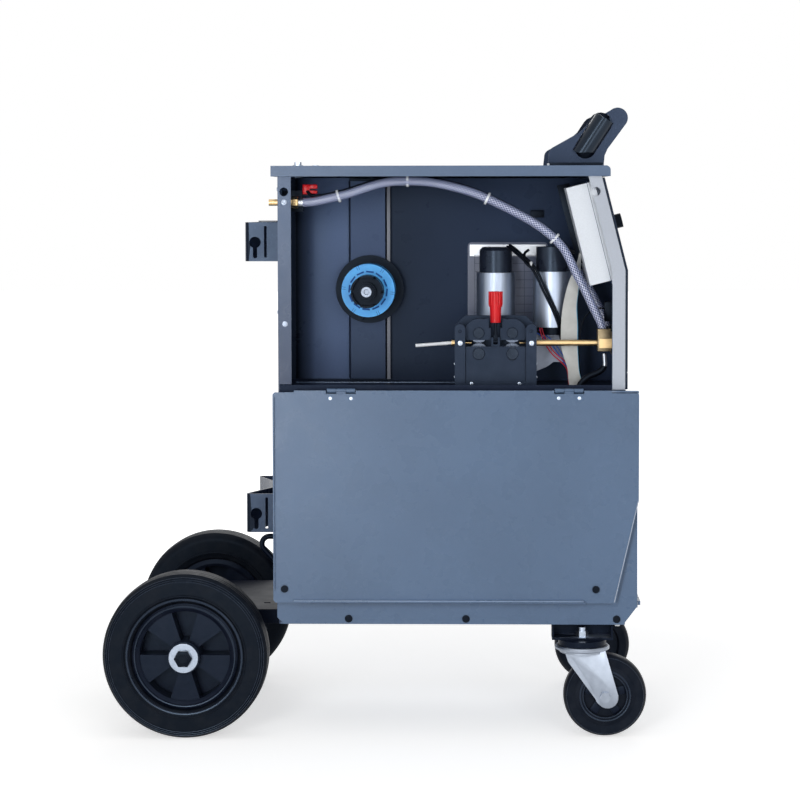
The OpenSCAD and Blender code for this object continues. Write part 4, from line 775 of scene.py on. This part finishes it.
# plate on the inner wall, and the ribbon
def makePlate():
    corners = ((259.7, 735.8, 0), (145.7, 735.8, 90), (145.7, 590, 180), (259.7, 590, 270))
    outline = [p for x, z, start in corners for p in arc(x, z, 6, range(start, start + 91, 30))]
    plate("innerPlate", outline[::-1], -30.8, 0.8, "plate", ease=0.2)
    block("plateHeader", (143, -31.1, 720), (262, -30.8, 738), paint="alloy")
    rule = block("rule", (0, -31.3, -0.3), (104, -31.1, 0.3))
    post = block("post", (-0.3, -31.3, 0), (0.3, -31.1, 116))
    heads("plateRules", rule, [(150.7, 0, 606 + 12.8 * k) for k in range(10)], "rule", facing=upward)
    heads("platePosts", post, [(150.7 + 26 * k, 0, 606) for k in range(5)], "rule", facing=upward)
    discard(rule, post)


# the ribbon's two edges in X and Z, and its depth, from top to foot
ribbonLeft = [(311.3, 727.1), (306.7, 711.6), (292.8, 676.2), (285.1, 640.7), (282.8, 606.7), (284.3, 578.9),
              (292.8, 551.2), (294.4, 535.7), (295.9, 524.2)]
ribbonRight = [(313.9, 727.1), (312.6, 699.3), (309.6, 668.4), (307.4, 645.3), (309.0, 614.4), (309.0, 583.6),
               (310.6, 551.2), (313.7, 535.7), (318.3, 524.2)]
ribbonDepths = [-112, -117, -119.5, -119, -117.5, -117.5, -119, -118, -117]


def curveAt(values, k, f):
    # a smooth curve through the values, at the share f of the way from value k to the next
    a, b = values[max(k - 1, 0)], values[k]
    c, d = values[k + 1], values[min(k + 2, len(values) - 1)]
    return 0.5 * (2 * b + (c - a) * f + (2 * a - 5 * b + 4 * c - d) * f * f + (3 * b - a - 3 * c + d) * f ** 3)


def makeRibbon():
    columns, steps = 26, 6
    spans = len(ribbonLeft) - 1
    count = spans * steps + 1
    tracks = [[p[axis] for p in edge] for edge in (ribbonLeft, ribbonRight) for axis in (0, 1)] + [ribbonDepths]
    points, sides = [], []
    for i in range(count):
        k = min(i // steps, spans - 1)
        leftX, leftZ, rightX, rightZ, depth = (curveAt(track, k, i / steps - k) for track in tracks)
        for j in range(columns + 1):
            u = j / columns
            wave = 1.4 * math.sin(math.pi * u) + 1.6 * (u - 0.5) * math.cos(i / count * 7)
            points.append((leftX + (rightX - leftX) * u, depth - wave, leftZ + (rightZ - leftZ) * u))
            sides.append((u, i / count))
    wide = columns + 1
    starts = [i * wide + j for i in range(count - 1) for j in range(columns)]
    mesh = bpy.data.meshes.new("ribbon")
    mesh.from_pydata(millimetres(points), [], [(n, n + wide, n + wide + 1, n + 1) for n in starts])
    uv = mesh.uv_layers.new(name="route")
    for loop in mesh.loops:
        uv.data[loop.index].uv = sides[loop.vertex_index]
    mesh.materials.append(finish["ribbon"])
    piece = added("ribbonCable", mesh)
    wall = piece.modifiers.new("wall", "SOLIDIFY")
    wall.thickness, wall.offset = 0.0009, 0
    settle(piece)
    smooth(piece, 50)
    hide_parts("ribbon_cable")
    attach(piece, "root")


# sheet edges, painted highlights and shade, fittings and wheel details
leanTop = 357.3 - 39.2
plates = [
    # name, outline in X and Z, near face in Y, depth, paint, body, ease
    ("frontLedge", [(376.8, 523.9), (395.5, 494.8), (395.4, 492.4), (376.8, 521.4)], -194.6, 389.2, "panel"),
    # a thin strip carrying a painted highlight along the door's slanted edge
    ("doorEdge", [(395.2, 358.6), (396.1, 358.4), (360.6, 205.4), (359.7, 205.6)], -211, 0.8, "frame", "door", 0),
    # a thin sheet on the inner wall that carries only the painted highlight and the post's painted shadow
    ("bayLiner", [(-131, 527), (-46, 527), (-46, 843), (-131, 843)], -31.0, 0.6, "bay", "root", 0.2),
    ("frameSeam", [(356.5, 524.5), (357.3, 524.5), (357.3, 681), (leanTop, 836), (leanTop - 0.8, 836), (356.5, 681)],
     -195.05, 0.5, "seam", "root", 0),
    ("boxBack", [(276.8, 830.4), (296, 834), (330, 711), (309, 711)], -100, 1.5, "plastic"),
    ("doorCorner", [(355.3, 520), (396.4, 520), (396.4, 522), (395.9, 523.3), (394.4, 524), (355.3, 524)],
     -210.7, 1.2, "panel", "door", 0.2),
]
blocks = [
    # name, low and high corner, ease, paint, body
    # a thin strip carrying the painted highlight on the door's foot
    ("doorLip", (-121, -217, 206.6), (314, -211, 208.2), 0.3, "lip", "door"),
    # a thin strip carrying the painted shade under the door's lip
    ("doorSeam", (-121, -212.2, 203.4), (314, -211, 206.5), 0.2, "seam", "door"),
    ("underBolt", (362, -187, 164.6), (370, -179, 169.2), 1.5, "white"),
    # a thin strip carrying the painted highlight along the fold of the bay floor
    ("floorFold", (-128, -68, 523.6), (148, -65.6, 524.8), 0.3, "lip"),
    ("frontLip", (386, -194.6, 194.5), (396.4, 194.6, 202.5), 0.6, "frame"),
    # the socket block in the darker brass, painted shade
    ("socketBlock", (337.2, -157.6, 579), (357.4, -124.4, 613), 1.0, "olive"),
    ("valveTab", (-111.5, -137.5, 817.2), (-100.5, -124, 832.4), 1.2, "red"),
    ("valveTab", (-101.5, -136.5, 825.6), (-89, -126, 832.3), 1.2, "red"),
    ("valveTab", (-101.5, -136.5, 818.2), (-89, -126, 823.2), 1.2, "red"),
    # near black strips under the handle plates: painted shadow in the gap
    ("handleFoot", (263, -123.2, 859.6), (346, -121.6, 865.2), 0.4, "dark"),
    ("handleFoot", (263, 121.6, 859.6), (346, 123.2, 865.2), 0.4, "dark"),
    # a strip carrying the painted highlight along the fold of the inner wall
    ("dividerEdge", (13.2, -42, 527), (18.4, -30.9, 838), 0.5, "edge"),
    ("wallClip", (238, -36, 780.5), (259, -30, 792), 1.2, "plastic"),
    ("hoseFitting", (349, -80, 600), (363, -66, 613), 1.5, "plastic"),
    ("hoseFittingFoot", (362, -82, 598), (374.2, -64, 615), 1.0, "plastic"),
    ("microSwitch", (350, -112, 622), (374.2, -98, 652), 0.8, "plastic"),
]


def makeSheetTrim():
    for values in plates:
        plate(*values)
    for values in blocks:
        block(*values)
    # a dark pan inside each torch holder, painted shade in its hollow: two half rounds on one sloping line
    middle, slope, reach, radius = (330.9, 904.3), (0.5446, 0.8387), 23, 18.5
    for side in (-1, 1):
        pan = []
        for s, start in ((1, -33), (-1, 147)):
            x, z = (m + s * reach * c for m, c in zip(middle, slope))
            pan += arc(x, z, radius, range(start, start + 181, 20))
        plate("holderPan", pan[::-1], side * 104 - 0.5, 1.0, "dark", ease=0.2)


gasAxis = (-150, 805)


def makeFittings():
    crimp = turned("hoseCrimp", [(6.4, 0), (7.1, 0.4), (7.1, 2.6), (6.5, 3.1), (7.1, 3.6), (7.1, 6.8), (6.4, 7.2),
                                 (5.4, 7.2), (5.4, 0), (6.4, 0)])
    heads("gasCrimp", crimp, [(-116.5, *gasAxis)], "alloy", facing=toFront)
    hexEnd = turned("hoseHex", [(5.4, 0), (8.6, 0), (9.2, 0.8), (9.2, 7.6), (8.6, 8.4), (5.4, 8.4), (5.4, 0)], sides=6)
    heads("gasHex", hexEnd, [(-125.5, *gasAxis)], "brass", facing=toFront)
    heads("gasHexRear", hexEnd, [(-133.5, *gasAxis)], "brass", size=0.86, facing=toFront)
    guide = turned("wireGuide", [(0, 0), (1.6, 0), (1.6, 9), (1.1, 10), (0, 10)], sides=16)
    heads("wireGuides", guide, [(136.4, -141, 591), (219.0, -141, 591)], "brass", facing=toFront)
    discard(crimp, hexEnd, guide)


# places in X and Z, and the casters' distance from the middle
wheelAxle, casterAxle, crownSpot, hubCentre, trackHalf = (-284.5, 125), (347, 62.5), (313, 131.4), (-13.5, 669), 190
axleEnd, collarFace, webDepths = 243.2, 198.8, (199, 202.5)
wheelRings = {
    # radius, half thickness and distance from the middle of the cart
    "tyre": {"bead": (86.5, 2.2, 231.0), "flange": (75.5, 1.7, 227.2), "lineA": (113.5, 0.5, 232.0),
             "lineB": (116.5, 0.5, 230.6), "lineC": (119.3, 0.5, 229.2)},
    "caster": {"bead": (37.5, 1.6, 205.4), "rim": (33.2, 1.0, 205.8), "shoulder": (57.6, 0.5, 205.2)},
}


def onSide(axle, y):
    return [(axle[0], y, axle[1])]


def makeWheelTrim():
    nut = turned("axleNut", [(0, 0), (13.6, 0), (13.6, 3.4), (12.0, 4.2), (8.2, 4.4), (7.6, 3.4), (0, 3.4)], sides=6)
    collar = turned("casterCollar", [(33, 0), (46, 0), (46, 5.8), (39, 6.2), (36, 7.4), (33.6, 7.4), (33, 6.6),
                                     (33, 0)], sides=64)
    crown = turned("crownRing", [(33, 0), (38.5, 0), (41.0, 1.4), (41.2, 4.4), (39.5, 6.4), (36.8, 7.2), (36.4, 3),
                                 (33, 3), (33, 0)], sides=64)
    cheek = [(279, 135.5), (300, 133.5), (330, 132.5), (346.5, 134), (366.4, 65)]
    cheek += arc(350.3, 61.4, 16.4, range(8, -178, -18)) + [(334, 60), (321.5, 84), (307.5, 106), (298.5, 119)]
    for side, end, outward in ((-1, "near", toNear), (1, "far", toFar)):
        tyre, roller, fork = (nodes[n + end]["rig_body"] for n in ("rear_tyre_", "caster_wheel_", "caster_fork_"))
        heads("axleNut" + end.capitalize(), nut, onSide(wheelAxle, side * axleEnd), "plastic", facing=outward)
        for kind, axle, body in (("tyre", wheelAxle, tyre), ("caster", casterAxle, roller)):
            for label, (radius, thick, depth) in wheelRings[kind].items():
                loop = hoop(label, radius, thick)
                heads(kind + label + end, loop, onSide(axle, side * depth), "bead", body, facing=outward)
                discard(loop)
        heads("casterCollar" + end, collar, onSide(casterAxle, side * collarFace), "caster", roller, facing=outward)
        low, high = sorted(side * depth for depth in webDepths)
        web = block("web", (15, low, -6.5), (31.5, high, 6.5), ease=1.0)
        ring("casterWebs" + end, web, 5, (casterAxle[0], 0, casterAxle[1]), "rim", roller, start=54)
        discard(web)
        heads("crown" + end, crown, onSide(crownSpot, side * trackHalf), "fork", fork, facing=upward)
        plate("cheek" + end, cheek[::-1], 211.6 if side > 0 else -212.4, 0.8, "fork", fork)
    discard(nut, collar, crown)


def makeHubTrim():
    # short pockets and paired lines round the drive ring's face
    marks = [("ringPockets", 12, (27.8, -104.5, -5.8), (30.2, -103.6, 5.8))]
    marks += [("ringGroove", 6, (34.6, -104.4, s), (40.9, -103.8, s + 0.6)) for s in (-1.9, 1.3)]
    for name, count, low, high in marks:
        mark = block("mark", low, high)
        ring(name, mark, count, (hubCentre[0], 0, hubCentre[1]), "slot", nodes["hub_drive_ring"]["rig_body"], start=6)
        discard(mark)


# the control panel's face on the slant, sockets and a switch below it
panelFoot, panelLean, dialHeight, lowerFace, socketHeight = (0.3765, 0, 0.681), -14.2, 0.072, 380.5, 578
panelBlocks = [
    ("screenFrame", (3.5, -46, 58), (5.4, 46, 112), 0.8, "cap"),
    ("screenGlass", (5, -40, 64), (5.8, 40, 106), 0.3, "gloss"),
    ("screenBar", (5.6, -32, 94), (5.95, 14, 96.5), 0, "blue"),
    ("screenBar", (5.6, -32, 83), (5.95, -2, 85.5), 0, "white"),
    ("screenBar", (5.6, -32, 72), (5.95, 6, 74.5), 0, "white"),
]
lampPaints = {-44: "white", -24: "white", -4: "blue", 16: "white", 36: "red"}
panelBlocks += [("panelLamp", (3.8, y, 40), (5.2, y + 5, 45), 1.0, paint) for y, paint in lampPaints.items()]
panelBlocks += [("panelKey", (3.8, y, 20), (6.4, y + 16, 30), 1.2, "cap") for y in (-44, -8, 28)]


def makePanelFace():
    pieces = [block(*values) for values in panelBlocks]
    for side in (-1, 1):
        for k in range(11):
            tick = block("dialTick", (3.8, -0.5, 19.5), (4.35, 0.5, 23 if k % 5 else 25), paint="white")
            turn = Matrix.Rotation(math.radians(-135 + 27 * k), 4, "X")
            tick.data.transform(Matrix.Translation((0, side * 0.1, dialHeight)) @ turn)
            pieces.append(tick)
    for piece in pieces:
        piece.data.transform(Matrix.Translation(panelFoot) @ Matrix.Rotation(math.radians(panelLean), 4, "Y"))
    base = turned("socketBase", [(0, 0), (22, 0), (22, 3), (19.5, 5), (13, 5), (12, 1.5), (0, 1.5)], sides=48)
    core = turned("socketCore", [(0, 0), (9, 0), (9, 6), (7.5, 6), (7.5, 1), (4.5, 1), (4.5, 4.5), (0, 4.5)], sides=40)
    places = (20, 110)
    heads("currentSockets", base, [(lowerFace - 0.5, y, socketHeight) for y in places], "plastic", facing=toFront)
    heads("socketCores", core, [(lowerFace, y, socketHeight) for y in places], "brass", facing=toFront)
    discard(base, core)
    for name, back, out, low, high, ease, paint in (
            ("switchFrame", -0.5, 2.5, (136, 628), (166, 664), 0.8, "cap"),
            ("switchRocker", 1.5, 5, (141, 632), (161, 660), 1.4, "red"),
            ("polarityPlate", -0.3, 0.5, (8, 616), (122, 632), 0.3, "edge")):
        block(name, (lowerFace + back, *low), (lowerFace + out, *high), ease, paint)
    print("control panel made")


for paint, names in skins.items():
    for name in names:
        dressed(name, paint)
print("solids dressed")
makeHoses()
makeTies()
makeFixings()
makePlate()
makeRibbon()
makeSheetTrim()
makeFittings()
makeWheelTrim()
makeHubTrim()
makePanelFace()
print("trim made")


# floor, light and camera
stage = {"floorSize": 30.0, "floor": 0.88, "glow": 0.55, "glowStart": 0.78, "glowEnd": 1.9, "world": 0.2}
lamps = {
    "leftBox": {"place": (-0.7, -3.0, 0.82), "target": (0.0, 0.0, 0.55), "size": (0.7, 1.9), "power": 40.0},
    "rightBox": {"place": (1.3, -3.2, 1.1), "target": (0.1, 0.0, 0.5), "size": (1.2, 1.6), "power": 22.0},
    "topBox": {"place": (0.0, -0.9, 3.0), "target": (0.0, 0.0, 0.4), "size": (2.4, 2.4), "power": 14.0},
    "backBox": {"place": (0.3, 2.8, 2.0), "target": (0.0, 0.0, 0.5), "size": (2.4, 1.6), "power": 24.0},
}


def seenDirectly(tree):
    # 1 for what the camera sees, also in a mirror or through glass
    path = tree.nodes.new("ShaderNodeLightPath")
    seen = maths(tree, "MAXIMUM", path.outputs["Is Camera Ray"], path.outputs["Is Glossy Ray"])
    return maths(tree, "MAXIMUM", seen, path.outputs["Is Transmission Ray"])


def makeStage():
    mesh = bpy.data.meshes.new("floor")
    s = stage["floorSize"] / 2
    mesh.from_pydata([(-s, -s, 0), (s, -s, 0), (s, s, 0), (-s, s, 0)], [], [(0, 1, 2, 3)])
    floor = added("floor", mesh)
    made, tree, shader, place = startMaterial("floorPaper")
    feed(shader, {"Base Color": (stage["floor"],) * 3 + (1.0,), "Roughness": 0.9})
    reach = feed(tree.nodes.new("ShaderNodeVectorMath"), {0: place})
    reach.operation = "LENGTH"
    far = spread(tree, reach.outputs["Value"], stage["glow"], 1.0, stage["glowStart"], stage["glowEnd"])
    white = feed(tree.nodes.new("ShaderNodeEmission"), {"Strength": maths(tree, "MULTIPLY", far, seenDirectly(tree))})
    both = feed(tree.nodes.new("ShaderNodeAddShader"), {0: shader.outputs[0], 1: white.outputs[0]})
    feed(tree.nodes["Material Output"], {"Surface": both.outputs[0]})
    mesh.materials.append(made)


def lamp(name, place, target, size, power):
    data = bpy.data.lights.new(name, "AREA")
    data.shape, data.size, data.size_y, data.energy = "RECTANGLE", size[0], size[1], power
    made = bpy.data.objects.new(name, data)
    made.location = place
    made.rotation_mode = "QUATERNION"
    made.rotation_quaternion = (Vector(target) - Vector(place)).to_track_quat("-Z", "Y")
    scene.collection.objects.link(made)


def makeLight():
    world = bpy.data.worlds.new("studio")
    world.use_nodes = True
    scene.world = world
    tree = world.node_tree
    level = spread(tree, seenDirectly(tree), stage["world"], 1.0, 0.0, 1.0)
    feed(tree.nodes["Background"], {"Color": (1, 1, 1, 1), "Strength": level})
    for name, values in lamps.items():
        lamp(name, **values)


camera = {"place": (0.15542, -3.52407, 0.81847), "yaw": 1.179, "pitch": 2.872, "roll": -0.074, "lens": 100.078,
          "shift": (-0.04, -0.1188)}


def makeCamera():
    data = bpy.data.cameras.new("camera")
    data.lens, data.sensor_width = camera["lens"], 36.0
    data.shift_x, data.shift_y = camera["shift"]
    data.clip_start, data.clip_end = 0.1, 100.0
    made = bpy.data.objects.new("camera", data)
    yaw, pitch, roll = (math.radians(camera[k]) for k in ("yaw", "pitch", "roll"))
    ahead = Vector((-math.sin(yaw) * math.cos(pitch), math.cos(yaw) * math.cos(pitch), -math.sin(pitch)))
    right = Vector((math.cos(yaw), math.sin(yaw), 0))
    up = right.cross(ahead)
    across = right * math.cos(roll) + up * math.sin(roll)
    lifted = up * math.cos(roll) - right * math.sin(roll)
    turn = Matrix((across, lifted, -ahead)).transposed().to_4x4()
    made.matrix_world = Matrix.Translation(camera["place"]) @ turn
    scene.collection.objects.link(made)
    scene.camera = made


makeStage()
makeLight()
makeCamera()
scene.view_settings.view_transform = "Standard"
print("stage, light and camera set")
